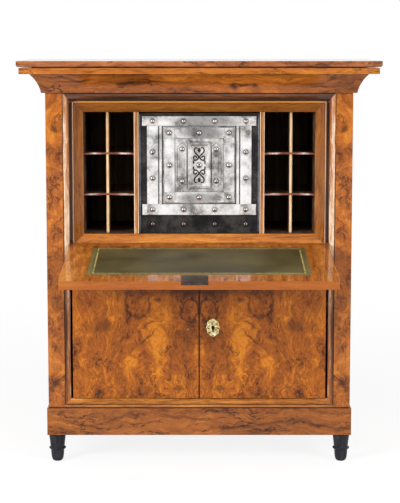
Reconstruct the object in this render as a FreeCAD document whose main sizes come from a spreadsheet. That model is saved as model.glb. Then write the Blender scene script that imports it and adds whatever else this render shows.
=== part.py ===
import FreeCAD, Part
import math
import operator
import os
import Sketcher
from types import SimpleNamespace
from FreeCAD import Placement, Rotation, Vector

# A walnut fall-front secretaire: a writing flap in front of pigeonholes and an iron strongbox,
# two doors below. X runs to the right, Y to the back, Z up; Y is 0 on the face of the stiles.

# Driving sizes, in millimetres and degrees
SIZES = {
    # Carcass
    "carcass_width": 1040,
    "carcass_depth": 486,
    "stile_width": 56.8,
    "frame_thick": 33,
    "side_thick": 22,
    "back_thick": 12,
    "bottom_thick": 20,
    "sill_height": 12,
    "rail_depth": 60,
    "rail_setback": 2,
    "desk_height": 764,
    "cupboard_shelf_height": 448,
    "cupboard_shelf_thick": 18,
    "cupboard_shelf_setback": 60,
    # Plinth and feet
    "plinth_height": 94,
    "plinth_projection": 5.4,
    "plinth_thick": 40,
    "foot_height": 98.6,
    "foot_head_radius": 28.5,
    "foot_waist_radius": 24,
    "foot_collar_radius": 28,
    "foot_collar_low": 44.3,
    "foot_collar_high": 58.5,
    "foot_ankle_radius": 21.5,
    "foot_toe_radius": 18.5,
    "foot_tip_radius": 12.5,
    "foot_tip_height": 7,
    "foot_inset": 2,
    # Cornice
    "cove_height": 64.5,
    "cove_start": 12.3,
    "cove_reach": 49,
    "cove_radius": 115,
    "cornice_board_reach": 80,
    "cornice_board_thick": 20,
    "shadow_gap": 3.5,
    "shadow_depth": 40,
    "top_board_reach": 88,
    "top_board_thick": 19.6,
    "top_board_rounding": 7,
    # Bead moulding round the flap and doors, and the stop that the flap shuts against
    "moulding_width": 20.6,
    "quirk_width": 2.5,
    "quirk_depth": 3,
    "ovolo_drop": 9,
    "ovolo_radius": 40,
    "stop_overlap": 12,
    "stop_groove": 8,
    "stop_groove_depth": 12,
    "stop_bead": 7,
    "stop_bead_radius": 5.4,
    "stop_bead_shoulder": 4,
    "stop_thick": 22,
    # Pigeonholes
    "cant_side": 31,
    "cant_head": 32,
    "cant_foot": 28,
    "cant_depth": 24,
    "cant_setback": 9,
    "gallery_board": 10,
    "post_thick": 15.7,
    "divider_thick": 10,
    "divider_offset": 6,
    "shelf_thick": 7,
    "shelf_easing": 2,
    "lower_hole_height": 130,
    "middle_hole_height": 134,
    "shelf_setback": 3,
    "shelf_hollow": 30,
    # Flap
    "flap_thick": 28,
    "flap_setback": 4,
    "flap_droop": 6.5,
    "flap_gap": 1.2,
    "pivot_radius": 4,
    "pivot_length": 14,
    "hinge_plate_thick": 2,
    "hinge_plate_width": 18,
    "hinge_plate_height": 44,
    "hinge_leaf_length": 60,
    "hinge_leaf_margin": 4,
    "leather_side_margin": 83.4,
    "leather_back_margin": 57,
    "leather_lock_gap": 8,
    "leather_thick": 2,
    "lock_width": 86,
    "lock_length": 74,
    "lock_thick": 13,
    "lock_offset": 14,
    "lock_bolt_width": 24,
    "lock_bolt_thick": 7,
    "lock_bolt_length": 40,
    "lock_throw": 10,
    # Doors
    "door_thick": 22,
    "door_setback": 6,
    "door_edge_gap": 7.4,
    "door_gap": 1.5,
    "door_pin_length": 14,
    "under_flap_gap": 3,
    "door_lock_width": 70,
    "door_lock_height": 70,
    "door_lock_thick": 16,
    "door_lock_margin": 6,
    "door_bolt_width": 40,
    "door_bolt_height": 18,
    "door_bolt_thick": 6,
    "keyhole_x": 47.3,
    "keyhole_z": 474.5,
    "keyhole_radius": 4,
    "keyhole_slot": 5,
    "keyhole_drop": 13,
    "escutcheon_width": 46,
    "escutcheon_height": 66,
    "escutcheon_thick": 3,
    "latch_x": 34,
    "latch_radius": 4,
    "latch_length": 120,
    "latch_throw": 12,
    "latch_socket_gap": 1,
    "latch_plate_width": 24,
    "latch_plate_height": 90,
    "latch_plate_thick": 12,
    # Strongbox
    "safe_setback": 4,
    "safe_side_gap": 0.5,
    "safe_head_gap": 4,
    "safe_depth": 262,
    "safe_wall": 8,
    "safe_plate": 8,
    "safe_base": 65,
    "safe_side_margin": 28.5,
    "strap_thick": 3,
    "strap_end_margin": 12,
    "strap_head_margin": 10.2,
    "foot_strap_height": 37,
    "head_strap_height": 33,
    "side_strap_width": 38,
    "side_strap_gap": 2.4,
    "jamb_width": 11.6,
    "jamb_gap": 1,
    "jamb_thick": 4,
    "jamb_bevel": 3,
    "safe_door_gap": 2,
    "safe_door_edge": 4,
    "door_strap_width": 35.5,
    "stud_radius": 9.2,
    "stud_shoulder": 8,
    "stud_crown": 4.2,
    "stud_height": 7,
    "safe_pin_inset": 6,
    "safe_pin_radius": 2.5,
    "safe_pin_length": 10,
    "side_plate_width": 30,
    "side_plate_point": 15,
    "side_plate_margin": 11,
    "side_plate_end_margin": 18,
    "cover_width": 77.6,
    "cover_height": 156,
    "cover_side_gap": 4.7,
    "cover_end_gap": 15,
    "cover_thick": 7,
    "cover_gap": 0.8,
    "cover_border": 13,
    "cover_sinking": 4,
    "cover_pin_inset": 2,
    "cover_pin_radius": 1.5,
    "cover_pin_length": 5,
    "cover_lug_height": 6,
    "cover_lug_width": 9,
    "safe_lock_width": 124,
    "safe_lock_height": 96,
    "safe_lock_thick": 22,
    "safe_lock_margin": 22,
    "safe_bolt_length": 82,
    "safe_bolt_height": 20,
    "safe_bolt_thick": 10,
    # Fits
    "pin_clearance": 0.06,
    "slide_gap": 0.3,
}

SIDES = (("left", -1), ("right", 1))
STUD_SIDES = 12
OPERATIONS = {"+": operator.add, "-": operator.sub, "*": operator.mul, "/": operator.truediv}

doc = FreeCAD.newDocument("Secretaire")
sheet = doc.addObject("Spreadsheet::Sheet", "Dims")
for row, (name, number) in enumerate(SIZES.items(), start=1):
    sheet.set(f"A{row}", name)
    sheet.set(f"B{row}", str(number))
    sheet.setAlias(f"B{row}", name)
doc.recompute()
pieces = {}


class Size:
    """A number together with the sheet expression that gives it."""

    def __init__(self, number, text):
        self.number = number
        self.text = text

    def __add__(self, other):
        return combine(self, "+", other)

    def __radd__(self, other):
        return combine(other, "+", self)

    def __sub__(self, other):
        return combine(self, "-", other)

    def __rsub__(self, other):
        return combine(other, "-", self)

    def __mul__(self, other):
        return combine(self, "*", other)

    def __rmul__(self, other):
        return combine(other, "*", self)

    def __truediv__(self, other):
        return combine(self, "/", other)

    def __neg__(self):
        return combine(0, "-", self)


def as_size(value):
    """A plain number as a Size, so that both can be mixed."""
    return value if isinstance(value, Size) else Size(float(value), f"({value})")


def combine(first, sign, second):
    """Work out a sum on the numbers and on the expressions alike."""
    first = as_size(first)
    second = as_size(second)
    number = OPERATIONS[sign](first.number, second.number)
    return Size(number, f"({first.text} {sign} {second.text})")


def tangent(angle):
    """Tangent of an angle in degrees."""
    return Size(math.tan(math.radians(angle.number)), f"tan({angle.text} * 1 deg)")


def cosine(angle):
    """Cosine of an angle in degrees."""
    return Size(math.cos(math.radians(angle.number)), f"cos({angle.text} * 1 deg)")


d = SimpleNamespace(**{name: Size(float(n), f"Dims.{name}") for name, n in SIZES.items()})

# The strongbox sets its own size, from the keyhole cover outwards
window_half = d.cover_width / 2 + d.cover_side_gap + d.side_plate_width + d.side_plate_margin
door_strap_half = window_half + d.door_strap_width
safe_door_half = door_strap_half + d.safe_door_edge
jamb_inner = safe_door_half + d.safe_door_gap + d.jamb_gap
jamb_outer = jamb_inner + d.jamb_width
side_strap_inner = jamb_outer + d.side_strap_gap
side_strap_outer = side_strap_inner + d.side_strap_width
safe_half = side_strap_outer + d.safe_side_margin
window_height = d.cover_height + d.cover_end_gap * 2
safe_door_height = window_height + (d.door_strap_width + d.safe_door_edge) * 2

# Heights above the writing level follow from the strongbox, and the carcass is built round them
gallery_foot = d.desk_height + d.cant_foot
safe_door_foot = gallery_foot + d.safe_base + d.foot_strap_height + d.safe_door_gap
safe_door_head = safe_door_foot + safe_door_height
safe_door_middle = safe_door_foot + safe_door_height / 2
safe_head = safe_door_head + d.safe_door_gap + d.head_strap_height + d.strap_head_margin
gallery_head = safe_head + d.safe_head_gap
stop_head = gallery_head + d.cant_head
open_head = stop_head + d.stop_groove + d.stop_bead
carcass_head = open_head + d.moulding_width
cove_head = carcass_head + d.cove_height
board_head = cove_head + d.cornice_board_thick
carcass_base = d.foot_height + d.plinth_height
open_sill = carcass_base + d.sill_height + d.moulding_width

# Widths and depths that several pieces share
half = d.carcass_width / 2
frame_half = half - d.stile_width
open_half = frame_half - d.moulding_width
inner_half = half - d.side_thick
stop_inner = open_half - d.stop_groove - d.stop_bead
gallery_half = stop_inner - d.cant_side
post_inner = safe_half + d.safe_side_gap
post_outer = post_inner + d.post_thick
back_face = d.carcass_depth - d.back_thick
cant_front = d.frame_thick + d.cant_setback
gallery_front = cant_front + d.cant_depth
shelf_front = gallery_front + d.shelf_setback
safe_front = gallery_front + d.safe_setback
safe_back = safe_front + d.safe_plate
strap_face = safe_front - d.strap_thick
safe_pin_x = d.safe_pin_inset - safe_door_half
safe_pin_y = safe_front + d.safe_plate / 2

# The flap turns on a pivot in the middle of its thickness, and rests on the rail's front edge
heel = d.flap_thick / 2
pivot_y = d.flap_setback + heel
pivot_z = d.desk_height - heel
flap_half = open_half - d.flap_gap
flap_reach = open_head - pivot_z - d.flap_gap
flap_underside = pivot_z - heel / cosine(d.flap_droop)
rail_head = flap_underside - (pivot_y - d.rail_setback) * tangent(d.flap_droop) - d.slide_gap

# The doors swing out under the lowered flap
door_head = flap_underside - (pivot_y + open_half) * tangent(d.flap_droop) - d.under_flap_gap
door_foot = open_sill + d.door_gap
door_half = open_half - d.door_edge_gap
door_back = d.door_setback + d.door_thick
door_pin_x = door_half - d.door_thick / 2
door_pin_y = d.door_setback + d.door_thick / 2


def bind(piece, prop, size):
    """Tie one property of a piece to the sheet."""
    piece.setExpression(prop, as_size(size).text)


def place(piece, x, y, z):
    """Tie a piece's place to the sheet and keep its turn."""
    for axis, size in zip("xyz", (x, y, z)):
        bind(piece, f"Placement.Base.{axis}", size)
    return piece


def node(label, piece):
    """Keep a finished piece under the name of its file."""
    piece.Label = label
    pieces[label] = piece
    return piece


def span(sign, inner, outer):
    """The X range from inner to outer on one side of the middle."""
    return (as_size(inner), as_size(outer)) if sign > 0 else (-as_size(outer), -as_size(inner))


def block(name, x, y, z):
    """A square-edged board between two limits on each axis."""
    piece = doc.addObject("Part::Box", name)
    for prop, (low, high) in zip(("Length", "Width", "Height"), (x, y, z)):
        bind(piece, prop, as_size(high) - low)
    return place(piece, x[0], y[0], z[0])


def rod(name, axis, radius, start, length):
    """A round bar that starts at a point and runs along X, Y or Z."""
    turns = {"x": (Vector(0, 1, 0), 90), "y": (Vector(1, 0, 0), -90), "z": (Vector(0, 0, 1), 0)}
    piece = doc.addObject("Part::Cylinder", name)
    piece.Placement = Placement(Vector(), Rotation(*turns[axis]))
    bind(piece, "Radius", radius)
    bind(piece, "Height", length)
    return place(piece, *start)


def cut(name, base, *tools):
    """Take tools away from a piece, one after another."""
    for tool in tools:
        piece = doc.addObject("Part::Cut", f"{name}_cut")
        piece.Base = base
        piece.Tool = tool
        base = piece
    return base


def fuse(name, *solids):
    """Join solids that are one piece of material."""
    piece = doc.addObject("Part::MultiFuse", f"{name}_fuse")
    piece.Shapes = list(solids)
    return piece


def group(name, *solids):
    """Solids that share a file and stay separate."""
    piece = doc.addObject("Part::Compound", f"{name}_group")
    piece.Links = list(solids)
    return piece


def new_body(name):
    """A body for sketched features."""
    return doc.addObject("PartDesign::Body", f"{name}_body")


def new_sketch(body, role):
    """A sketch on one of the body's own origin planes."""
    sketch = body.newObject("Sketcher::SketchObject", f"{body.Name}_{role[:2]}")
    plane = next(feature for feature in body.Origin.OriginFeatures if feature.Role == role)
    sketch.AttachmentSupport = [(plane, "")]
    sketch.MapMode = "FlatFace"
    return sketch


def hold(sketch, constraint, size):
    """Add a constraint whose value comes from the sheet."""
    index = sketch.addConstraint(constraint)
    sketch.setExpression(f"Constraints[{index}]", size.text)


def arc_between(start, end, radius, turn):
    """The short arc from start to end, anticlockwise where turn is 1 and clockwise where it is -1."""
    chord = end - start
    rise = math.sqrt(radius**2 - (chord.Length / 2) ** 2)
    left = Vector(-chord.y, chord.x, 0).normalize()
    centre = start + chord / 2 + left * rise * turn
    first, last = (start, end) if turn > 0 else (end, start)
    low = math.atan2(first.y - centre.y, first.x - centre.x)
    high = math.atan2(last.y - centre.y, last.x - centre.x)
    if high < low:
        high += 2 * math.pi
    return Part.ArcOfCircle(Part.Circle(centre, Vector(0, 0, 1), radius), low, high)


def outline(body, role, corners, closed=True):
    """Sketch an outline; a corner written (u, v, radius, turn) is reached along an arc."""
    sketch = new_sketch(body, role)
    corners = [tuple(as_size(part) for part in corner[:3]) + tuple(corner[3:]) for corner in corners]
    before = corners[-1:] + corners[:-1]
    pairs = list(zip(before, corners))
    ends = []
    for past, corner in pairs if closed else pairs[1:]:
        start = Vector(past[0].number, past[1].number, 0)
        end = Vector(corner[0].number, corner[1].number, 0)
        if len(corner) == 2:
            index = sketch.addGeometry(Part.LineSegment(start, end), False)
            ends.append((index, 1, 2))
            continue
        radius, turn = corner[2:]
        index = sketch.addGeometry(arc_between(start, end, radius.number, turn), False)
        ends.append((index, 1, 2) if turn > 0 else (index, 2, 1))
        hold(sketch, Sketcher.Constraint("Radius", index, radius.number), radius)
    following = ends[1:] + (ends[:1] if closed else [])
    for (index, _, last), (neighbour, first, _) in zip(ends, following):
        sketch.addConstraint(Sketcher.Constraint("Coincident", index, last, neighbour, first))
    marks = [(index, last) for index, _, last in ends]
    if not closed:
        marks = [ends[0][:2]] + marks
    for (index, point), corner in zip(marks, corners):
        for kind, size in zip(("DistanceX", "DistanceY"), corner[:2]):
            hold(sketch, Sketcher.Constraint(kind, -1, 1, index, point, size.number), size)
    return sketch


def prism(name, role, corners, length):
    """Pad an outline: +Z from the XY plane, -Y from the XZ plane, +X from the YZ plane."""
    body = new_body(name)
    sketch = outline(body, role, corners)
    pad = body.newObject("PartDesign::Pad", f"{body.Name}_pad")
    pad.Profile = sketch
    bind(pad, "Length", length)
    doc.recompute()
    return body


def rectangle(x, y):
    """The corners of a rectangle, anticlockwise."""
    return [(x[0], y[0]), (x[1], y[0]), (x[1], y[1]), (x[0], y[1])]


def ease_edges(body, kind, prop, size, chosen):
    """Round or chamfer the edges of a body's last feature that a test picks by their middle."""
    base = body.Tip
    names = []
    for number, edge in enumerate(base.Shape.Edges, start=1):
        if chosen(edge.valueAt((edge.FirstParameter + edge.LastParameter) / 2)):
            names.append(f"Edge{number}")
    eased = body.newObject(f"PartDesign::{kind}", f"{body.Name}_eased")
    eased.Base = (base, names)
    bind(eased, prop, size)
    doc.recompute()
    return body


def mitred_strip(name, section, width, depth, length, mitres, turn):
    """A moulding with mitred ends. It runs along X with its outer edge at Z 0, then turns about Y."""
    stock = prism(f"{name}_stock", "YZ_Plane", section, length)
    low, high = (width if mitre else as_size(0) for mitre in mitres)
    corners = [(0, 0), (length, 0), (length - high, width), (low, width)]
    shape = place(prism(f"{name}_ends", "XZ_Plane", corners, depth), 0, depth, 0)
    piece = doc.addObject("Part::Common", f"{name}_mitred")
    piece.Base = stock
    piece.Tool = shape
    piece.Placement = Placement(Vector(), Rotation(Vector(0, 1, 0), turn))
    return piece


def carcass():
    """The boards that carry everything else."""
    for side, sign in SIDES:
        node(f"{side}_side_panel", block(
            f"{side}_side_panel", span(sign, inner_half, half), (d.frame_thick, d.carcass_depth),
            (carcass_base, cove_head)))
        node(f"{side}_stile", block(
            f"{side}_stile", span(sign, frame_half, half), (0, d.frame_thick), (carcass_base, cove_head)))
    inside = (-inner_half, inner_half)
    between = (-frame_half, frame_half)
    node("head_rail", block("head_rail", between, (0, d.frame_thick), (carcass_head, cove_head)))
    sill_head = carcass_base + d.sill_height
    node("sill_rail", block("sill_rail", between, (0, d.frame_thick), (carcass_base, sill_head)))
    node("back_panel", block("back_panel", inside, (back_face, d.carcass_depth), (carcass_base, cove_head)))
    node("bottom_board", block(
        "bottom_board", inside, (d.frame_thick, back_face), (carcass_base, carcass_base + d.bottom_thick)))
    node("desk_floor", block("desk_floor", inside, (d.frame_thick, back_face), (rail_head, d.desk_height)))
    shelf_head = d.cupboard_shelf_height + d.cupboard_shelf_thick
    node("cupboard_shelf", block(
        "cupboard_shelf", inside, (d.frame_thick + d.cupboard_shelf_setback, back_face),
        (d.cupboard_shelf_height, shelf_head)))


def middle_rail():
    """The rail between flap and doors, bored for the door pins and the left door's bolt."""
    rail_foot = door_head + d.door_gap
    level = (rail_foot, rail_head)
    front = block("rail_front", (-open_half, open_half), (d.rail_setback, d.frame_thick), level)
    rear = block("rail_rear", (-inner_half, inner_half), (d.frame_thick, d.rail_depth), level)
    pins = []
    for side, sign in SIDES:
        start = (door_pin_x * sign, door_pin_y, rail_foot)
        pins.append(rod(f"{side}_rail_bore", "z", d.pivot_radius, start, d.door_pin_length))
    wide = d.latch_radius + d.latch_socket_gap
    socket = block(
        "latch_socket", (-d.latch_x - wide, -d.latch_x + wide), (latch_y() - wide, latch_y() + wide),
        (rail_foot, rail_foot + d.latch_throw + d.latch_socket_gap))
    node("mid_rail", cut("mid_rail", fuse("mid_rail", front, rear), *pins, socket))


def plinth_and_feet():
    """A box plinth on four turned feet."""
    outer = half + d.plinth_projection
    inner = outer - d.plinth_thick
    level = (d.foot_height, carcass_base)
    solid = block("plinth_solid", (-outer, outer), (-d.plinth_projection, d.carcass_depth), level)
    front = d.plinth_thick - d.plinth_projection
    hollow = block("plinth_hollow", (-inner, inner), (front, d.carcass_depth - d.plinth_thick), level)
    node("plinth", cut("plinth", solid, hollow))
    profile = [
        (0, 0),
        (d.foot_tip_radius, 0),
        (d.foot_toe_radius, d.foot_tip_height),
        (d.foot_ankle_radius, d.foot_collar_low),
        (d.foot_collar_radius, (d.foot_collar_low + d.foot_collar_high) / 2),
        (d.foot_waist_radius, d.foot_collar_high),
        (d.foot_head_radius, d.foot_height),
        (0, d.foot_height),
    ]
    x = half - d.foot_head_radius + d.foot_inset
    rows = (d.foot_head_radius + d.foot_inset, d.carcass_depth - d.foot_head_radius - d.foot_inset)
    feet = []
    for sign in (-1, 1):
        for y in rows:
            body = new_body("foot")
            sketch = outline(body, "XZ_Plane", profile)
            turned = body.newObject("PartDesign::Revolution", f"{body.Name}_turned")
            turned.Profile = sketch
            turned.ReferenceAxis = (sketch, ["V_Axis"])
            turned.Angle = 360
            doc.recompute()
            feet.append(place(body, x * sign, y, 0))
    node("feet", group("feet", *feet))


def cornice():
    """A hollow moulding mitred round three sides, under two boards with a shadow line between them."""
    body = new_body("cornice_cove")
    path = outline(
        body, "XY_Plane", [(-half, 0), (-half, -d.carcass_depth), (half, -d.carcass_depth), (half, 0)], False)
    section = [
        (-half, carcass_head),
        (-half - d.cove_start, carcass_head),
        (-half - d.cove_reach, cove_head, d.cove_radius, 1),
        (-half, cove_head),
    ]
    profile = outline(body, "XZ_Plane", section)
    doc.recompute()
    pipe = body.newObject("PartDesign::AdditivePipe", "cornice_cove_sweep")
    pipe.Profile = profile
    pipe.Spine = (path, [f"Edge{n}" for n in (1, 2, 3)])
    pipe.Transition = "Right corner"
    doc.recompute()
    node("cornice_cove", place(body, 0, d.carcass_depth, 0))

    board = half + d.cornice_board_reach
    node("cornice_board", block(
        "cornice_board", (-board, board), (-d.cornice_board_reach, d.carcass_depth), (cove_head, board_head)))

    top = half + d.top_board_reach
    corners = rectangle((-top, top), (-d.top_board_reach, d.carcass_depth))
    slab = prism("top_board", "XY_Plane", corners, d.top_board_thick)
    rear = SIZES["carcass_depth"]
    ease_edges(slab, "Fillet", "Radius", d.top_board_rounding, lambda point: point.z == 0 and point.y < rear)
    place(slab, 0, 0, board_head + d.shadow_gap)
    packing = board - d.shadow_depth
    strip = block(
        "top_packing", (-packing, packing), (d.shadow_depth - d.cornice_board_reach, d.carcass_depth),
        (board_head, board_head + d.shadow_gap))
    node("top_board", fuse("top_board", slab, strip))


def bead_moulding():
    """Four mitred lengths round the flap and doors, cut for the pivots. The top one is a bead with a lining
    behind it in two lengths, and the flap lock's bolt goes up between them."""
    section = [
        (d.quirk_depth, 0),
        (d.frame_thick, 0),
        (d.frame_thick, d.moulding_width),
        (d.ovolo_drop, d.moulding_width),
        (0, d.quirk_width, d.ovolo_radius, 1),
        (d.quirk_depth, d.quirk_width),
    ]
    sill = carcass_base + d.sill_height
    height = carcass_head - sill
    width = frame_half * 2
    lengths = {
        "moulding_bottom": (width, 0, (-frame_half, 0, sill)),
        "moulding_right": (height, -90, (frame_half, 0, sill)),
        "moulding_top": (width, 180, (frame_half, 0, carcass_head)),
        "moulding_left": (height, 90, (-frame_half, 0, carcass_head)),
    }
    strips = {}
    for name, (length, turn, corner) in lengths.items():
        strip = mitred_strip(name, section, d.moulding_width, d.frame_thick, length, (True, True), turn)
        strips[name] = place(strip, *corner)
    for side, sign in SIDES:
        name = f"moulding_{side}"
        x = span(sign, open_half, open_half + d.hinge_plate_thick)
        node(name, cut(name, strips[name], block(f"{name}_recess", x, *hinge_plate_limits())))
    bores = []
    for side, sign in SIDES:
        start = (door_pin_x * sign, door_pin_y, open_sill - d.door_pin_length)
        bores.append(rod(f"{side}_sill_bore", "z", d.pivot_radius, start, d.door_pin_length))
    node("moulding_bottom", cut("moulding_bottom", strips["moulding_bottom"], *bores))
    bolt_half = d.lock_bolt_width / 2 + d.slide_gap * 2
    bolt_y = pivot_y + heel - d.lock_thick / 2
    bolt_side = d.lock_bolt_thick / 2 + d.slide_gap * 2
    bead_back = bolt_y - bolt_side
    ends = (-frame_half, frame_half)
    gap = (-d.lock_offset - bolt_half, -d.lock_offset + bolt_half)
    depth = (0, d.frame_thick)
    rise = (open_head, carcass_head)
    strip = strips["moulding_top"]
    bead = cut("top_bead", strip, block("top_bead_back", ends, (bead_back, d.frame_thick), rise))
    linings = []
    for side, spare in (("left", (gap[0], frame_half)), ("right", (-frame_half, gap[1]))):
        name = f"{side}_top_lining"
        front = block(f"{name}_front", ends, (0, bead_back), rise)
        linings.append(cut(name, strip, front, block(f"{name}_end", spare, depth, rise)))
    node("moulding_top", group("moulding_top", bead, *linings))


def hinge_plate_limits():
    """The Y and Z range of the plates that carry the flap's pivots."""
    y = (pivot_y - d.hinge_plate_width / 2, pivot_y + d.hinge_plate_width / 2)
    z = (pivot_z - d.hinge_plate_height / 2, pivot_z + d.hinge_plate_height / 2)
    return y, z


def pivots():
    """Plates with a pin for the flap's two pivots, and the four pins that the doors turn on."""
    plates = []
    for side, sign in SIDES:
        plate = block(f"{side}_pivot_plate", span(sign, open_half, open_half + d.hinge_plate_thick),
                      *hinge_plate_limits())
        low, _ = span(sign, open_half - d.pivot_length, open_half)
        pin = rod(f"{side}_pivot_pin", "x", d.pivot_radius, (low, pivot_y, pivot_z), d.pivot_length)
        plates.append(fuse(f"{side}_pivot", plate, pin))
    node("flap_pivot_plates", group("flap_pivot_plates", *plates))
    pins = []
    for side, sign in SIDES:
        for base in (open_sill, door_head + d.door_gap):
            start = (door_pin_x * sign, door_pin_y, base - d.door_pin_length)
            pins.append(rod(f"{side}_door_pin", "z", d.pivot_radius, start, d.door_pin_length * 2))
    node("door_pivots", group("door_pivots", *pins))


def flap_stop():
    """The strip with a small bead, behind the moulding, that the flap shuts against."""
    bead_front = d.slide_gap * 2
    shoulder = bead_front + d.stop_bead_shoulder
    inner = d.stop_overlap + d.stop_groove + d.stop_bead
    step = d.stop_overlap + d.stop_groove
    middle = step + d.stop_bead / 2
    section = [
        (0, 0),
        (d.stop_thick, 0),
        (d.stop_thick, inner),
        (shoulder, inner),
        (bead_front, middle, d.stop_bead_radius, 1),
        (shoulder, step, d.stop_bead_radius, 1),
        (d.stop_groove_depth, step),
        (d.stop_groove_depth, d.stop_overlap),
        (0, d.stop_overlap),
    ]
    outer_half = open_half + d.stop_overlap
    outer_head = open_head + d.stop_overlap
    height = outer_head - d.desk_height
    lengths = {
        "stop_bead_right": (height, (False, True), -90, (outer_half, d.frame_thick, d.desk_height)),
        "stop_bead_top": (outer_half * 2, (True, True), 180, (outer_half, d.frame_thick, outer_head)),
        "stop_bead_left": (height, (True, False), 90, (-outer_half, d.frame_thick, outer_head)),
    }
    for name, (length, mitres, turn, corner) in lengths.items():
        strip = mitred_strip(name, section, inner, d.stop_thick, length, mitres, turn)
        node(name, place(strip, *corner))


def gallery():
    """The canted frame and the boards that box in the pigeonholes."""
    level = (d.desk_height, stop_head)
    frame = block("cant_solid", (-stop_inner, stop_inner), (cant_front, gallery_front), level)
    funnel = doc.addObject("Part::Wedge", "cant_funnel")
    limits = {
        "Xmin": -stop_inner, "Xmax": stop_inner, "Zmin": d.desk_height, "Zmax": stop_head,
        "X2min": -gallery_half, "X2max": gallery_half, "Z2min": gallery_foot, "Z2max": gallery_head,
        "Ymin": cant_front, "Ymax": gallery_front,
    }
    for prop, size in limits.items():
        bind(funnel, prop, size)
    node("gallery_frame", cut("gallery_frame", frame, funnel))
    depth = (gallery_front, back_face)
    outer = gallery_half + d.gallery_board
    inside = (-gallery_half, gallery_half)
    sides = [
        block(f"{side}_gallery_side", span(sign, gallery_half, outer), depth, (d.desk_height, gallery_head))
        for side, sign in SIDES
    ]
    node("gallery_sides", group("gallery_sides", *sides))
    node("gallery_floor", block("gallery_floor", inside, depth, (d.desk_height, gallery_foot)))
    top = (gallery_head, gallery_head + d.gallery_board)
    node("gallery_top", block("gallery_top", (-outer, outer), depth, top))
    for side, sign in SIDES:
        post = span(sign, post_inner, post_outer)
        node(f"{side}_safe_post", block(f"{side}_safe_post", post, depth, (gallery_foot, gallery_head)))


def pigeonholes():
    """In each bank one upright and two hollow-fronted shelves, halved together where they cross."""
    bay = gallery_half - post_outer
    middle = (gallery_half + post_outer) / 2
    nose = shelf_front + d.shelf_hollow
    halving = nose + (back_face - nose) / 2
    hollow = (bay * bay / 4 + d.shelf_hollow * d.shelf_hollow) / (d.shelf_hollow * 2)
    lower = gallery_foot + d.lower_hole_height
    heights = {"upper": lower + d.shelf_thick + d.middle_hole_height, "lower": lower}
    rounding = d.divider_thick / 2
    for side, sign in SIDES:
        centre = (middle + d.divider_offset) * sign
        upright = prism(
            f"{side}_divider", "XY_Plane",
            [
                (-rounding, back_face),
                (-rounding, nose + rounding),
                (0, nose, rounding, 1),
                (rounding, nose + rounding, rounding, 1),
                (rounding, back_face),
            ],
            gallery_head - gallery_foot)
        place(upright, centre, 0, gallery_foot)
        slots = [
            block(f"{side}_{level}_slot", (centre - d.divider_thick, centre + d.divider_thick),
                  (nose - rounding, halving), (height, height + d.shelf_thick))
            for level, height in heights.items()
        ]
        node(f"{side}_divider", cut(f"{side}_divider", upright, *slots))
        for level, height in heights.items():
            name = f"{side}_{level}_shelf"
            board = prism(
                name, "XY_Plane",
                [
                    (-bay / 2, shelf_front),
                    (0, nose, hollow, -1),
                    (bay / 2, shelf_front, hollow, -1),
                    (bay / 2, back_face),
                    (-bay / 2, back_face),
                ],
                d.shelf_thick)
            limit = nose.number - 1
            ease_edges(
                board, "Chamfer", "Size", d.shelf_easing,
                lambda point: point.y < limit and point.z != SIZES["shelf_thick"] / 2)
            place(board, middle * sign, 0, height)
            slot = block(f"{name}_slot", (centre - rounding, centre + rounding), (halving, back_face),
                         (height, height + d.shelf_thick))
            node(name, cut(name, board, slot))


def on_flap(label, *solids):
    """Lay solids that are drawn about the flap's pivot at the flap's open angle."""
    piece = group(label, *solids)
    piece.Placement = Placement(Vector(), Rotation(Vector(1, 0, 0), d.flap_droop.number))
    bind(piece, "Placement.Rotation.Angle", d.flap_droop)
    return node(label, place(piece, 0, pivot_y, pivot_z))


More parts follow.
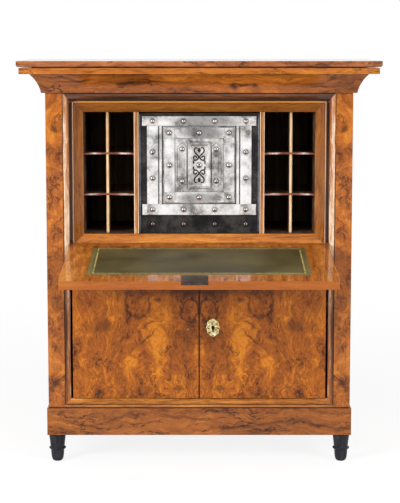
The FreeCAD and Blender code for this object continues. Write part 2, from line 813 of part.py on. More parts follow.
def flap():
    """The writing flap, drawn lying level with its pivot at the origin and its free edge towards -Y."""
    section = [
        (-flap_reach, -heel),
        (0, -heel),
        (heel, 0, heel, 1),
        (0, heel, heel, 1),
        (-flap_reach, heel),
    ]
    board = place(prism("flap_board", "YZ_Plane", section, flap_half * 2), -flap_half, 0, 0)
    leather_half = flap_half - d.leather_side_margin
    leather_front = d.lock_length + d.leather_lock_gap - flap_reach
    leather_limits = (
        (-leather_half, leather_half),
        (leather_front, -d.leather_back_margin),
        (heel - d.leather_thick, heel),
    )
    lock_limits = (
        (-d.lock_offset - d.lock_width / 2, -d.lock_offset + d.lock_width / 2),
        (-flap_reach, -flap_reach + d.lock_length),
        (heel - d.lock_thick, heel),
    )
    leaves = []
    recesses = []
    for side, sign in SIDES:
        x = span(sign, flap_half - d.hinge_plate_thick, flap_half)
        y = (heel / 2 - d.hinge_leaf_length, heel / 2)
        z = (d.hinge_leaf_margin - heel, heel - d.hinge_leaf_margin)
        recesses.append(block(f"{side}_leaf_recess", x, y, z))
        leaf = block(f"{side}_leaf", x, y, z)
        radius = d.pivot_radius + d.pin_clearance
        bore = rod(f"{side}_leaf_bore", "x", radius, (x[0], 0, 0), d.hinge_plate_thick)
        leaves.append(cut(f"{side}_leaf", leaf, bore))
        depth = d.pivot_length + d.hinge_plate_thick
        start, _ = span(sign, flap_half - depth, flap_half)
        recesses.append(rod(f"{side}_pin_bore", "x", d.pivot_radius + d.slide_gap, (start, 0, 0), depth))
    recesses.append(block("leather_recess", *leather_limits))
    recesses.append(block("lock_recess", *lock_limits))
    on_flap("flap_panel", cut("flap_panel", board, *recesses))
    on_flap("flap_leather", block("leather", *leather_limits))
    on_flap("flap_hinge_leaves", *leaves)

    middle = heel - d.lock_thick / 2
    bolt_half = d.lock_bolt_width / 2
    bolt_side = d.lock_bolt_thick / 2
    gap = d.pin_clearance
    chamber = block(
        "lock_chamber", (-d.lock_offset - bolt_half - gap, -d.lock_offset + bolt_half + gap),
        (-flap_reach, -flap_reach + d.lock_bolt_length + d.slide_gap * 2),
        (middle - bolt_side - gap, middle + bolt_side + gap))
    on_flap("flap_lock", cut("flap_lock", block("lock_case", *lock_limits), chamber))
    bolt = block(
        "lock_bolt", (-d.lock_offset - bolt_half, -d.lock_offset + bolt_half),
        (-flap_reach + d.slide_gap, -flap_reach + d.lock_bolt_length),
        (middle - bolt_side, middle + bolt_side))
    on_flap("flap_lock_bolt", bolt)


def keyhole(name, x, z, front, back):
    """The round and the slot of a keyhole, right through from front to back."""
    eye = rod(f"{name}_eye", "y", d.keyhole_radius, (x, front, z), back - front)
    wide = d.keyhole_slot / 2
    slot = block(f"{name}_slot", (x - wide, x + wide), (front, back), (z - d.keyhole_drop, z))
    return fuse(name, eye, slot)


def latch_y():
    """How far back the left door's bolt slides."""
    return door_back + d.latch_plate_thick / 2


def doors():
    """Two doors on pins, the right one with a lock and the left one with a bolt."""
    for side, sign in SIDES:
        x = span(sign, d.door_gap / 2, door_half)
        board = block(f"{side}_door_board", x, (d.door_setback, door_back), (door_foot, door_head))
        bores = []
        radius = d.pivot_radius + d.pin_clearance
        for z in (door_foot, door_head - d.door_pin_length):
            start = (door_pin_x * sign, door_pin_y, z)
            bores.append(rod(f"{side}_door_bore", "z", radius, start, d.door_pin_length))
        if sign > 0:
            bores.append(keyhole("door_keyhole", d.keyhole_x, d.keyhole_z, d.door_setback, door_back))
        node(f"{side}_door", cut(f"{side}_door", board, *bores))

    face = d.door_setback - d.escutcheon_thick
    ellipse = doc.addObject("Part::Ellipse", "escutcheon_edge")
    upright = Rotation(Vector(0, 0, 1), Vector(1, 0, 0), Vector(0, 1, 0), "ZXY")
    ellipse.Placement = Placement(Vector(), upright)
    bind(ellipse, "MajorRadius", d.escutcheon_height / 2)
    bind(ellipse, "MinorRadius", d.escutcheon_width / 2)
    place(ellipse, d.keyhole_x, d.door_setback, d.keyhole_z)
    plate = doc.addObject("Part::Extrusion", "escutcheon_plate")
    plate.Base = ellipse
    plate.Dir = Vector(0, -1, 0)
    plate.DirMode = "Custom"
    plate.Solid = True
    bind(plate, "LengthFwd", d.escutcheon_thick)
    hole = keyhole("escutcheon_keyhole", d.keyhole_x, d.keyhole_z, face, d.door_setback)
    node("door_escutcheon", cut("door_escutcheon", plate, hole))


def door_lock():
    """A cupboard lock behind the right door, whose bolt shoots behind the left one."""
    x = (d.door_gap / 2 + d.door_lock_margin, d.door_gap / 2 + d.door_lock_margin + d.door_lock_width)
    y = (door_back, door_back + d.door_lock_thick)
    z = (d.keyhole_z - d.door_lock_height / 2, d.keyhole_z + d.door_lock_height / 2)
    middle_y = door_back + d.door_lock_thick / 2
    thick = d.door_bolt_thick / 2
    tall = d.door_bolt_height / 2
    gap = d.pin_clearance
    bolt_z = d.keyhole_z + d.door_lock_height / 4
    end = x[0] + d.door_bolt_width
    chamber = block(
        "door_lock_chamber", (x[0], end + d.slide_gap), (middle_y - thick - gap, middle_y + thick + gap),
        (bolt_z - tall - gap, bolt_z + tall + gap))
    node("door_lock", cut("door_lock", block("door_lock_case", x, y, z), chamber))
    node("door_lock_bolt", block(
        "door_lock_bolt", (x[0] + d.slide_gap, end), (middle_y - thick, middle_y + thick),
        (bolt_z - tall, bolt_z + tall)))


def door_latch():
    """A sliding bolt behind the left door that holds it shut under the rail."""
    head = door_head - d.slide_gap
    top = head - d.latch_plate_height / 4
    plate = block(
        "latch_plate", (-d.latch_x - d.latch_plate_width / 2, -d.latch_x + d.latch_plate_width / 2),
        (door_back, door_back + d.latch_plate_thick), (top - d.latch_plate_height, top))
    start = (-d.latch_x, latch_y(), head - d.latch_length)
    tunnel = rod("latch_tunnel", "z", d.latch_radius + d.pin_clearance, start, d.latch_length)
    node("left_door_bolt_plate", cut("left_door_bolt_plate", plate, tunnel))
    node("left_door_bolt", rod("left_door_bolt", "z", d.latch_radius, start, d.latch_length))


def stud(name, x, z, face):
    """A hammered rivet head: a faceted dome that stands out of a face towards -Y."""
    rings = []
    levels = ((d.stud_radius, 0), (d.stud_shoulder, d.stud_height / 2), (d.stud_crown, d.stud_height))
    for radius, height in levels:
        ring = doc.addObject("Part::RegularPolygon", f"{name}_ring")
        ring.Polygon = STUD_SIDES
        ring.Placement = Placement(Vector(), Rotation(Vector(1, 0, 0), 90))
        bind(ring, "Circumradius", radius)
        rings.append(place(ring, x, face - height, z))
    dome = doc.addObject("Part::Loft", name)
    dome.Sections = rings
    dome.Solid = True
    dome.Ruled = True
    return dome


def strongbox():
    """The iron box, its front frame with a doorway, the riveted straps and the jambs."""
    walls = (-safe_half, safe_half)
    inner = safe_half - d.safe_wall
    rear = safe_back + d.safe_depth
    shell = block("safe_shell", walls, (safe_back, rear), (gallery_foot, safe_head))
    hollow = block(
        "safe_hollow", (-inner, inner), (safe_back, rear - d.safe_wall),
        (gallery_foot + d.safe_wall, safe_head - d.safe_wall))
    node("safe_body", cut("safe_body", shell, hollow))

    opening = safe_door_half + d.safe_door_gap
    plate = block("safe_frame_plate", walls, (safe_front, safe_back), (gallery_foot, safe_head))
    low = safe_door_foot - d.safe_door_gap
    high = safe_door_head + d.safe_door_gap
    doorway = block("safe_doorway", (-opening, opening), (safe_front, safe_back), (low, high))
    bores = [
        rod(f"safe_{end}_bore", "z", d.safe_pin_radius + d.pin_clearance, (safe_pin_x, safe_pin_y, start),
            d.safe_pin_length)
        for end, start in (("foot", low - d.safe_pin_length), ("head", high))
    ]
    node("safe_front_frame", cut("safe_front_frame", plate, doorway, *bores))

    layer = (strap_face, safe_front)
    strap_half = safe_half - d.strap_end_margin
    straps = [
        block("head_strap", (-strap_half, strap_half), layer, (high, high + d.head_strap_height)),
        block("foot_strap", (-strap_half, strap_half), layer, (low - d.foot_strap_height, low)),
    ]
    for side, sign in SIDES:
        x = span(sign, side_strap_inner, side_strap_outer)
        straps.append(block(f"{side}_strap", x, layer, (low, high)))
        jamb = prism(
            f"{side}_jamb", "XY_Plane",
            [
                (jamb_inner, 0),
                (jamb_inner, d.jamb_bevel - d.jamb_thick),
                (jamb_inner + d.jamb_bevel, -d.jamb_thick),
                (jamb_outer - d.jamb_bevel, -d.jamb_thick),
                (jamb_outer, d.jamb_bevel - d.jamb_thick),
                (jamb_outer, 0),
            ],
            high - low)
        shift = 0 if sign > 0 else -jamb_inner - jamb_outer
        straps.append(place(jamb, shift, safe_front, low))
    node("safe_frame_straps", group("safe_frame_straps", *straps))
    frame_studs(low, high)


def frame_studs(low, high):
    """Rivets on the fixed straps, and four on the bare foot of the frame."""
    side_x = (side_strap_inner + side_strap_outer) / 2
    near_x = side_x / 3
    third = (high - low) / 3
    level_rows = {
        "head": (high + d.head_strap_height / 2, strap_face),
        "foot": (low - d.foot_strap_height / 2, strap_face),
        "base": (gallery_foot + (low - d.foot_strap_height - gallery_foot) / 2, safe_front),
    }
    studs = []
    for row, (z, face) in level_rows.items():
        for x in (-side_x, -near_x, near_x, side_x):
            studs.append(stud(f"{row}_stud", x, z, face))
    for x in (-side_x, side_x):
        for z in (low + third, high - third):
            studs.append(stud("side_stud", x, z, strap_face))
    node("safe_frame_studs", group("safe_frame_studs", *studs))


def safe_door():
    """The strongbox door on two pins, with its strap frame, side plates and rivets."""
    x = (-safe_door_half, safe_door_half)
    slab = block("safe_door_slab", x, (safe_front, safe_back), (safe_door_foot, safe_door_head))
    length = d.safe_pin_length + d.safe_door_gap - d.slide_gap
    pins = [
        rod(f"safe_{end}_pin", "z", d.safe_pin_radius, (safe_pin_x, safe_pin_y, start), length)
        for end, start in (("foot", safe_door_foot - length), ("head", safe_door_head))
    ]
    lugs = cover_lugs()
    solid = fuse("safe_door_plate", slab, *pins, *lugs)
    eye_z = safe_door_middle + d.keyhole_drop / 2
    node("safe_door_plate", cut(
        "safe_door_plate", solid, *cover_bores(),
        keyhole("safe_keyhole", as_size(0), eye_z, safe_front, safe_back)))

    layer = (strap_face, safe_front)
    low = safe_door_foot + d.safe_door_edge
    high = safe_door_head - d.safe_door_edge
    ring = block("door_strap_sheet", (-door_strap_half, door_strap_half), layer, (low, high))
    level = (low + d.door_strap_width, high - d.door_strap_width)
    window = block("door_strap_window", (-window_half, window_half), layer, level)
    node("safe_door_straps", cut("safe_door_straps", ring, window))

    tip = window_height / 2 - d.side_plate_end_margin
    shoulder = tip - d.side_plate_point
    wide = d.side_plate_width / 2
    offset = d.cover_width / 2 + d.cover_side_gap + wide
    plates = []
    for side, sign in SIDES:
        plate = prism(
            f"{side}_side_plate", "XZ_Plane",
            [(0, -tip), (wide, -shoulder), (wide, shoulder), (0, tip), (-wide, shoulder), (-wide, -shoulder)],
            d.strap_thick)
        plates.append(place(plate, offset * sign, safe_front, safe_door_middle))
    node("safe_door_side_plates", group("safe_door_side_plates", *plates))

    column = door_strap_half - d.door_strap_width / 2
    rows = (low + d.door_strap_width / 2, high - d.door_strap_width / 2)
    studs = [stud("door_stud", x, z, strap_face) for z in rows for x in (-column, as_size(0), column)]
    studs += [stud("door_side_stud", x, safe_door_middle, strap_face) for x in (-column, column)]
    reach = shoulder - d.stud_radius / 2
    for x in (-offset, offset):
        for z in (safe_door_middle - reach, safe_door_middle + reach):
            studs.append(stud("plate_stud", x, z, strap_face))
    node("safe_door_studs", group("safe_door_studs", *studs))


def cover_axis():
    """Where the keyhole cover's pins stand, in X and Y."""
    back = safe_front - d.cover_gap
    return d.cover_pin_inset - d.cover_width / 2, back - d.cover_thick + d.cover_pin_inset


def cover_ends():
    """The foot and head of the keyhole cover."""
    return safe_door_middle - d.cover_height / 2, safe_door_middle + d.cover_height / 2


def cover_lugs():
    """The two lugs on the strongbox door that carry the keyhole cover."""
    x, y = cover_axis()
    foot, head = cover_ends()
    wide = d.cover_lug_width / 2
    reach = (y - wide / 2, safe_front)
    low = foot - d.slide_gap - d.cover_lug_height
    high = head + d.slide_gap
    return [
        block(f"cover_lug_{end}", (x - wide, x + wide), reach, (base, base + d.cover_lug_height))
        for end, base in (("foot", low), ("head", high))
    ]


def cover_bores():
    """Bores in the lugs for the cover's pins."""
    x, y = cover_axis()
    foot, head = cover_ends()
    starts = (("foot", foot - d.slide_gap - d.cover_lug_height), ("head", head + d.slide_gap))
    return [
        rod(f"cover_bore_{end}", "z", d.cover_pin_radius + d.pin_clearance, (x, y, start), d.cover_lug_height)
        for end, start in starts
    ]


def keyhole_cover():
    """A framed plate that swings aside from the strongbox's keyhole."""
    x, y = cover_axis()
    foot, head = cover_ends()
    wide = d.cover_width / 2
    back = safe_front - d.cover_gap
    front = back - d.cover_thick
    slab = block("cover_slab", (-wide, wide), (front, back), (foot, head))
    sinking = doc.addObject("Part::Wedge", "cover_sinking")
    border = d.cover_border
    slope = border / 2
    limits = {
        "Xmin": slope - wide, "Xmax": wide - slope, "Zmin": foot + slope, "Zmax": head - slope,
        "X2min": border - wide, "X2max": wide - border, "Z2min": foot + border, "Z2max": head - border,
        "Ymin": front, "Ymax": front + d.cover_sinking,
    }
    for prop, size in limits.items():
        bind(sinking, prop, size)
    length = d.cover_pin_length + d.slide_gap
    pins = [
        rod(f"cover_pin_{end}", "z", d.cover_pin_radius, (x, y, start), length)
        for end, start in (("foot", foot - length), ("head", head))
    ]
    node("keyhole_cover", fuse("keyhole_cover", cut("cover_panel", slab, sinking), *pins))


def safe_lock():
    """The lock behind the strongbox door; its bolt shoots behind the front frame."""
    right = safe_door_half - d.safe_lock_margin
    x = (right - d.safe_lock_width, right)
    y = (safe_back, safe_back + d.safe_lock_thick)
    z = (safe_door_middle - d.safe_lock_height / 2, safe_door_middle + d.safe_lock_height / 2)
    middle_y = safe_back + d.safe_lock_thick / 2
    thick = d.safe_bolt_thick / 2
    tall = d.safe_bolt_height / 2
    gap = d.pin_clearance
    tip = safe_door_half - d.safe_door_gap
    start = tip - d.safe_bolt_length
    level = safe_door_middle - d.safe_lock_height / 4
    chamber = block(
        "safe_lock_chamber", (start - d.slide_gap, right), (middle_y - thick - gap, middle_y + thick + gap),
        (level - tall - gap, level + tall + gap))
    case = block("safe_lock_box", x, y, z)
    eye = keyhole("safe_lock_keyhole", as_size(0), safe_door_middle + d.keyhole_drop / 2, *y)
    node("safe_lock_case", cut("safe_lock_case", case, chamber, eye))
    node("safe_bolt", block(
        "safe_bolt", (start, tip), (middle_y - thick, middle_y + thick), (level - tall, level + tall)))


def finish():
    """Check every object, then write one file for each piece."""
    doc.recompute()
    for item in doc.Objects:
        if {"Invalid", "Error"} & set(item.State):
            raise RuntimeError(f"{item.Label} did not build: {item.State}")
    for label, piece in pieces.items():
        shape = piece.Shape
        if shape.isNull() or not shape.isValid() or not shape.Solids:
            raise RuntimeError(f"{label} has no sound solid")
    os.makedirs("parts", exist_ok=True)
    for label, piece in pieces.items():
        piece.Shape.exportStep(f"parts/{label}.step")
    print(len(pieces), "pieces written")


carcass()
middle_rail()
plinth_and_feet()
cornice()
bead_moulding()
pivots()
flap_stop()
gallery()
pigeonholes()
flap()
doors()
door_lock()
door_latch()
strongbox()
safe_door()
keyhole_cover()
safe_lock()
finish()
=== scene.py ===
# %% [markdown]
# # A walnut fall-front secretaire with a strongbox
# The cabinet stands with its writing flap lowered. Behind the flap are pigeonholes on both sides
# of an iron strongbox, and two doors close the cupboard below. The construction comes from the
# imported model, in metres. This file dresses it: French-polished walnut, steel straps, gilt brass,
# leather and ebonised feet.

# %% Load the construction
import math

import bmesh
import bpy
import numpy as np
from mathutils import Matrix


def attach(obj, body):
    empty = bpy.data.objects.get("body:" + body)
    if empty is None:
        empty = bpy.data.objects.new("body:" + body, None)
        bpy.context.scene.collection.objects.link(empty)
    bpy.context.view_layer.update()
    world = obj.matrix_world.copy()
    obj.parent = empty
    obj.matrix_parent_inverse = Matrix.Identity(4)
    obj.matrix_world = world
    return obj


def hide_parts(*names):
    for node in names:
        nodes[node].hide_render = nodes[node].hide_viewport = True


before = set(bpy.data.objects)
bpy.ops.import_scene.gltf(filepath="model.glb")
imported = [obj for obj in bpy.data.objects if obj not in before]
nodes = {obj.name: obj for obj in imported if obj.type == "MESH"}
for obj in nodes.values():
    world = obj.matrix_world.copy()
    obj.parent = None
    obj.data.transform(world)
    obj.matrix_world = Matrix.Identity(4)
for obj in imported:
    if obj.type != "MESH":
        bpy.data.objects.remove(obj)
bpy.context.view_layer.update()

# %% [markdown]
# ## Colours and nodes
# Colours are given as sRGB hex values, while a shader works in linear light, so one function
# converts them. Another fills a node's sockets: each takes a plain value, another node's output, or
# simply another node, which stands for its first output in use. A third adds a node with its
# settings and sockets, and a colour ramp takes its stops as pairs of place and colour.
# Everything below is built from these three.

# %% Colour and node helpers
def linear(colour):
    """Linear RGBA from an sRGB hex value: c / 12.92 for dark values, ((c + 0.055) / 1.055) ** 2.4
    for the rest."""
    part = np.array([int(colour[i:i + 2], 16) for i in (1, 3, 5)]) / 255
    part = np.where(part <= 0.04045, part / 12.92, ((part + 0.055) / 1.055) ** 2.4)
    return (*part.tolist(), 1.0)


def plug(node, sockets):
    """Fill a node's sockets: an output is linked, a node gives its first output in use, and
    anything else is stored as the socket's own value."""
    for key, value in sockets.items():
        if isinstance(value, bpy.types.Node):
            value = next(output for output in value.outputs if output.enabled)
        if isinstance(value, bpy.types.NodeSocket):
            node.id_data.links.new(value, node.inputs[key])
        else:
            node.inputs[key].default_value = value


def add(tree, kind, sockets=None, stops=None, **settings):
    """Add a node: settings are its properties, sockets its values or links, stops its ramp."""
    node = tree.nodes.new("ShaderNode" + kind)
    for key, value in settings.items():
        setattr(node, key, value)
    plug(node, sockets or {})
    if stops:
        ramp = node.color_ramp.elements
        while len(ramp) < len(stops):
            ramp.new(1.0)
        for element, (place, colour) in zip(ramp, stops):
            element.position = place
            element.color = linear(colour)
    return node


def new_material(name):
    """An empty node material with its Principled shader joined to the output."""
    material = bpy.data.materials.new(name)
    material.use_nodes = True
    tree = material.node_tree
    tree.nodes.clear()
    shader = add(tree, "BsdfPrincipled")
    add(tree, "OutputMaterial", {"Surface": shader})
    return material, tree, shader


print("mid walnut in linear light:", [round(v, 3) for v in linear("#B4692D")])

# %% [markdown]
# ## Camera
# The photograph was taken with a long lens from nearly six metres, a little above the middle, so
# the verticals stay almost upright and the top board shows only a sliver of its upper face. Moving
# the camera sideways would change the perspective, so the lens shift does the framing.

# %% Camera
tilt = math.radians(7.6)  # below level
lens = bpy.data.cameras.new("photo_camera")
lens.lens = 120.2
lens.sensor_width = 36.0
lens.shift_x = 0.0016
lens.shift_y = 0.0169
camera = bpy.data.objects.new("photo_camera", lens)
camera.location = (0.0, -5.688, 1.468)
camera.rotation_euler = (math.radians(90) - tilt, 0.0, 0.0)
bpy.context.scene.collection.objects.link(camera)
bpy.context.scene.camera = camera
bpy.context.scene.view_settings.view_transform = "Standard"
print("camera at", tuple(camera.location))

# %% [markdown]
# ## Studio floor
# Every new shape in this file is a grid of points worked out with numpy, so one function turns
# grids into a mesh. The first one is the floor, a disc of white studio paper. It takes a soft
# shadow near the feet. Further out its own colour fades to black while it glows more, so that no
# horizon shows between paper and room.


# %% Grids to meshes
def piece(name, grids):
    """One mesh from one or more grids of points, in metres: grids has the shape (copies, rows,
    columns, 3) and every cell of a grid becomes a face. Doubled points at seams and poles are
    merged, the faces turned outwards and shaded smooth."""
    grids = np.asarray(grids, float)
    grids = grids.reshape((-1,) + grids.shape[-3:])
    copies, rows, columns = grids.shape[:3]
    corner = (np.arange(rows - 1)[:, None] * columns + np.arange(columns - 1)).ravel()
    cell = np.stack([corner, corner + 1, corner + columns + 1, corner + columns], 1)
    faces = (cell[None] + (np.arange(copies) * rows * columns)[:, None, None]).reshape(-1, 4)
    mesh = bpy.data.meshes.new(name)
    mesh.from_pydata(grids.reshape(-1, 3).tolist(), [], faces.tolist())
    shell = bmesh.new()
    shell.from_mesh(mesh)
    bmesh.ops.remove_doubles(shell, verts=shell.verts, dist=1e-6)
    bmesh.ops.dissolve_degenerate(shell, edges=shell.edges, dist=1e-7)
    bmesh.ops.recalc_face_normals(shell, faces=shell.faces)
    shell.to_mesh(mesh)
    shell.free()
    mesh.polygons.foreach_set("use_smooth", np.full(len(mesh.polygons), True))
    thing = bpy.data.objects.new(name, mesh)
    bpy.context.scene.collection.objects.link(thing)
    print(name, len(mesh.polygons), "faces")
    return thing


def full_turn(steps):
    """Angles round a circle. The last is the first again, so that the ends fall together."""
    angle = np.linspace(0, 2 * math.pi, steps + 1)
    angle[-1] = 0.0
    return angle


# %% Floor of white paper
grey, black_out = (0.22, 0.22, 0.22, 1), (0, 0, 0, 1)
paper, tree, shader = new_material("white_background_paper")
away = add(tree, "TexCoord").outputs["Object"]
away = add(tree, "VectorMath", {0: away}, operation="LENGTH")
far = {"Value": away, 1: 1.0, 2: 4.0, 3: 0.0, 4: 1.0}
far = add(tree, "MapRange", far, interpolation_type="SMOOTHSTEP")
fade = add(tree, "Mix", {0: far, 6: grey, 7: black_out}, data_type="RGBA")

# The glow is seen by the camera and in reflections, but lights nothing
rays = add(tree, "LightPath").outputs
seen = add(tree, "Math", {0: rays["Is Camera Ray"], 1: rays["Is Glossy Ray"]}, operation="MAXIMUM")
seen = add(tree, "Math", {0: seen, 1: rays["Is Transmission Ray"]}, operation="MAXIMUM")
white = add(tree, "Mix", {0: far, 2: 0.86, 3: 1.0}, data_type="FLOAT")
glow = add(tree, "Math", {0: seen, 1: white}, operation="MULTIPLY")
plug(shader, {"Base Color": fade, "Roughness": 0.9, "Specular IOR Level": 0.0,
              "Emission Color": (1, 1, 1, 1), "Emission Strength": glow})

turn, reach = np.meshgrid(full_turn(64), np.array([0, 0.5, 1, 2, 4, 8, 16.0]), indexing="ij")
floor = piece("studio_floor", np.stack([reach * np.cos(turn), reach * np.sin(turn), 0 * turn], -1))
floor.data.materials.append(paper)

# %% [markdown]
# ## Studio light
# The room is white for the camera, dimmer as a light, and in reflections half as bright in front
# of the cabinet as behind it, which gives the polish some contrast. Two large softboxes light the
# front from both sides. A softbox strong enough for the wood would burn out the steel wherever it
# is mirrored, so reflections don't see it, and a weaker lamp just in front of it makes the
# highlights instead.

# %% World
room_light, front_mirror = 0.28, 0.50
world = bpy.data.worlds.new("studio")
world.use_nodes = True
bpy.context.scene.world = world
tree = world.node_tree
tree.nodes.clear()
rays = add(tree, "LightPath").outputs
facing = add(tree, "SeparateXYZ", {0: add(tree, "TexCoord").outputs["Generated"]}).outputs["Y"]
mirror = add(tree, "MapRange", {"Value": facing, 1: -0.5, 2: 0.5, 3: front_mirror, 4: 1.0})
clear = {0: rays["Is Camera Ray"], 1: rays["Is Transmission Ray"]}
clear = add(tree, "Math", clear, operation="MAXIMUM")
level = add(tree, "Mix", {0: rays["Is Glossy Ray"], 2: room_light, 3: mirror}, data_type="FLOAT")
level = add(tree, "Mix", {0: clear, 2: level, 3: 1.0}, data_type="FLOAT")
sky = add(tree, "Background", {"Color": (1, 1, 1, 1), "Strength": level})
add(tree, "OutputWorld", {"Surface": sky})
print("room light", room_light)


# %% Lamps
def softbox(name, place, target, size, power):
    """A rectangular lamp at a place, turned towards a target: its tilt is the angle between
    straight down and the target, and its heading the target's direction on the floor."""
    lamp = bpy.data.lights.new(name, "AREA")
    lamp.shape = "RECTANGLE"
    lamp.size, lamp.size_y = size
    lamp.energy = power
    thing = bpy.data.objects.new(name, lamp)
    thing.location = place
    away = np.subtract(target, place)
    flat = math.hypot(away[0], away[1])
    thing.rotation_euler = (math.atan2(flat, -away[2]), 0, math.atan2(-away[0], away[1]))
    bpy.context.scene.collection.objects.link(thing)
    return thing


desk = (0, 0, 0.7)
for name, x, power in (("left", -3.3, 190), ("right", 3.3, 128)):
    light = softbox(name + "_softbox", (x, -3.4, 1.75), desk, (1.8, 2.6), power)
    light.visible_glossy = False
    # 4% nearer, as a mirrored ray would stop at the unseen softbox if both were in one place
    sheen = softbox(name + "_sheen", (x * 0.96, -3.264, 1.708), desk, (1.73, 2.5), power * 0.35)
    sheen.visible_diffuse = False
softbox("top_softbox", (0.0, -2.2, 4.4), (0, 0, 0.9), (2.4, 1.2), 25)
print("two softboxes, each with a smaller lamp for the reflections, and one above")

# %% [markdown]
# ## French-polished walnut
# The cabinet is veneered with figured walnut: wild, warm orange-brown wood with growth bands that
# wander, thin ink lines, burr eyes and dark open pores, under a clear shellac polish. A picture of
# wood would look stretched on one board and repeat on the next, so the figure is worked out in the
# room instead. The object's own coordinates are bent with two noises and stretched along the
# grain, and bands, streaks, ink lines and eyes are read from the result. Each board differs by
# where it is cut (its place), its grain axis and its tones. Doors and stiles were opened like a
# book from one flitch, which is the pattern read at the absolute value of X.
#
# The figure takes several steps, and each of them is a function of its own.


# %% Distances and blotches
def distance(tree, value, middle):
    """How far a value lies from a middle, |value - middle|."""
    away = add(tree, "Math", {0: value, 1: middle}, operation="SUBTRACT")
    return add(tree, "Math", {0: away}, operation="ABSOLUTE")


def blotches(tree, points, scale, low, high, least=0.0, most=1.0, detail=1.0):
    """A mask of blotches: it goes from least to most while a noise goes from low to high."""
    noise = add(tree, "TexNoise", {"Vector": points, "Scale": scale, "Detail": detail})
    return add(tree, "MapRange", {"Value": noise, 1: low, 2: high, 3: least, 4: most})


# %% Mitred members
def mitred(tree, x, z, half, low, high):
    """Masks of a frame with mitred corners. An upright is where |x| - half, the distance past the
    opening's side, is more than the distance past its lower or upper edge. The head begins 20 mm
    below the upper edge, inside the opening."""
    side = add(tree, "Math", {0: x}, operation="ABSOLUTE")
    side = add(tree, "Math", {0: side, 1: half}, operation="SUBTRACT")
    foot = add(tree, "Math", {0: low, 1: z}, operation="SUBTRACT")
    head = add(tree, "Math", {0: z, 1: high}, operation="SUBTRACT")
    ends = add(tree, "Math", {0: foot, 1: head}, operation="MAXIMUM")
    upright = add(tree, "Math", {0: side, 1: ends}, operation="GREATER_THAN")
    above = add(tree, "Math", {0: head, 1: -0.02}, operation="GREATER_THAN")
    return upright, above


# %% Figure of the wood
def figure(tree, board, grain, width, fine, ink, eyes):
    """The tone of the wood, about 0.3 to 0.7, and its darkness, 0 to 1. The tone mixes bands of
    the given width with streaks of a sixth of it."""
    bands, streaks, vein = (
        add(tree, "TexNoise", {"Vector": grain, "Scale": scale / width, "Detail": detail,
                               "Roughness": rough})
        for scale, detail, rough in ((1, 6.0, 0.6), (6, 4.0, 0.65), (0.6, 6.0, 0.62)))
    tone = add(tree, "Mix", {0: fine, 2: bands, 3: streaks}, data_type="FLOAT")

    # Ink lines run where a slow noise crosses its middle value, in patches of about 110 mm
    vein = distance(tree, vein, 0.5)
    vein = add(tree, "MapRange", {"Value": vein, 1: 0.0, 2: 0.018, 3: ink, 4: 0.0})
    patch = blotches(tree, board, 9.0, 0.40, 0.56)
    dark = add(tree, "Math", {0: vein, 1: patch}, operation="MULTIPLY")

    # Burr eyes of about 30 mm with a dark middle, in clusters of about 140 mm
    if eyes:
        eye = add(tree, "TexVoronoi", {"Vector": board, "Scale": 32.0}).outputs["Distance"]
        eye = add(tree, "MapRange", {"Value": eye, 1: 0.05, 2: 0.32, 3: eyes, 4: 0.0})
        cluster = blotches(tree, board, 7.0, 0.48, 0.60)
        eye = add(tree, "Math", {0: eye, 1: cluster}, operation="MULTIPLY")
        dark = add(tree, "Math", {0: dark, 1: eye}, operation="MAXIMUM")
    return tone, dark


# %% Patches in chosen places
def patchwork(tree, spot, tone, dark, light_figure_and_painted_light, knots_and_shade, rings):
    """Patches where the photograph shows them. The distance from a patch's middle, in its own
    half-widths, gives a strength that falls off outwards, or to both sides of 0.85 for a loop.
    Light patches raise the tone, dark ones and loops the darkness. Some light patches are painted
    light and highlights, and some dark ones painted shade."""
    for kind, patches in (("light", light_figure_and_painted_light), ("dark", knots_and_shade), ("loop", rings)):
        for x, z, half_width, half_height, strength, *tilt in patches:
            spread = {"Vector": spot, "Location": (x, 0, z), "Scale": (half_width, 1, half_height),
                      "Rotation": (0, math.radians(-sum(tilt)), 0)}
            away = add(tree, "Mapping", spread, vector_type="TEXTURE")
            away = add(tree, "VectorMath", {0: away}, operation="LENGTH")
            full, none = 0.25, 1.0
            if kind == "loop":
                away = distance(tree, away, 0.85)
                full, none = 0.03, 0.14
            fall = add(tree, "MapRange", {"Value": away, 1: full, 2: none, 3: strength, 4: 0.0})
            if kind == "light":
                tone = add(tree, "Math", {0: fall, 1: 0.12, 2: tone}, operation="MULTIPLY_ADD")
            else:
                dark = add(tree, "Math", {0: dark, 1: fall}, operation="MAXIMUM")
    return tone, dark


# %% Seams
def draw_seams(tree, parts, colour, seams):
    """Lines of a colour, which draw painted shade in joints and grooves and painted highlights on
    edges and beads: full up to 0.7 of the half-width from the line's plane, gone at the whole
    half-width, and only in front of the rear limit where one is given."""
    for axis, middle, half, tint, *rear in seams:
        gap = distance(tree, parts[axis], middle)
        gap = add(tree, "MapRange", {"Value": gap, 1: half * 0.7, 2: half, 3: 0.9, 4: 0.0})
        if rear:
            ahead = add(tree, "Math", {0: parts["Y"], 1: rear[0]}, operation="LESS_THAN")
            gap = add(tree, "Math", {0: gap, 1: ahead}, operation="MULTIPLY")
        colour = add(tree, "Mix", {0: gap, 6: colour, 7: linear(tint)}, data_type="RGBA")
    return colour


# %% French polish
# Colour of the painted shade in corners, mixed with old polish
corner_shade_and_old_polish = "#1C0D06"


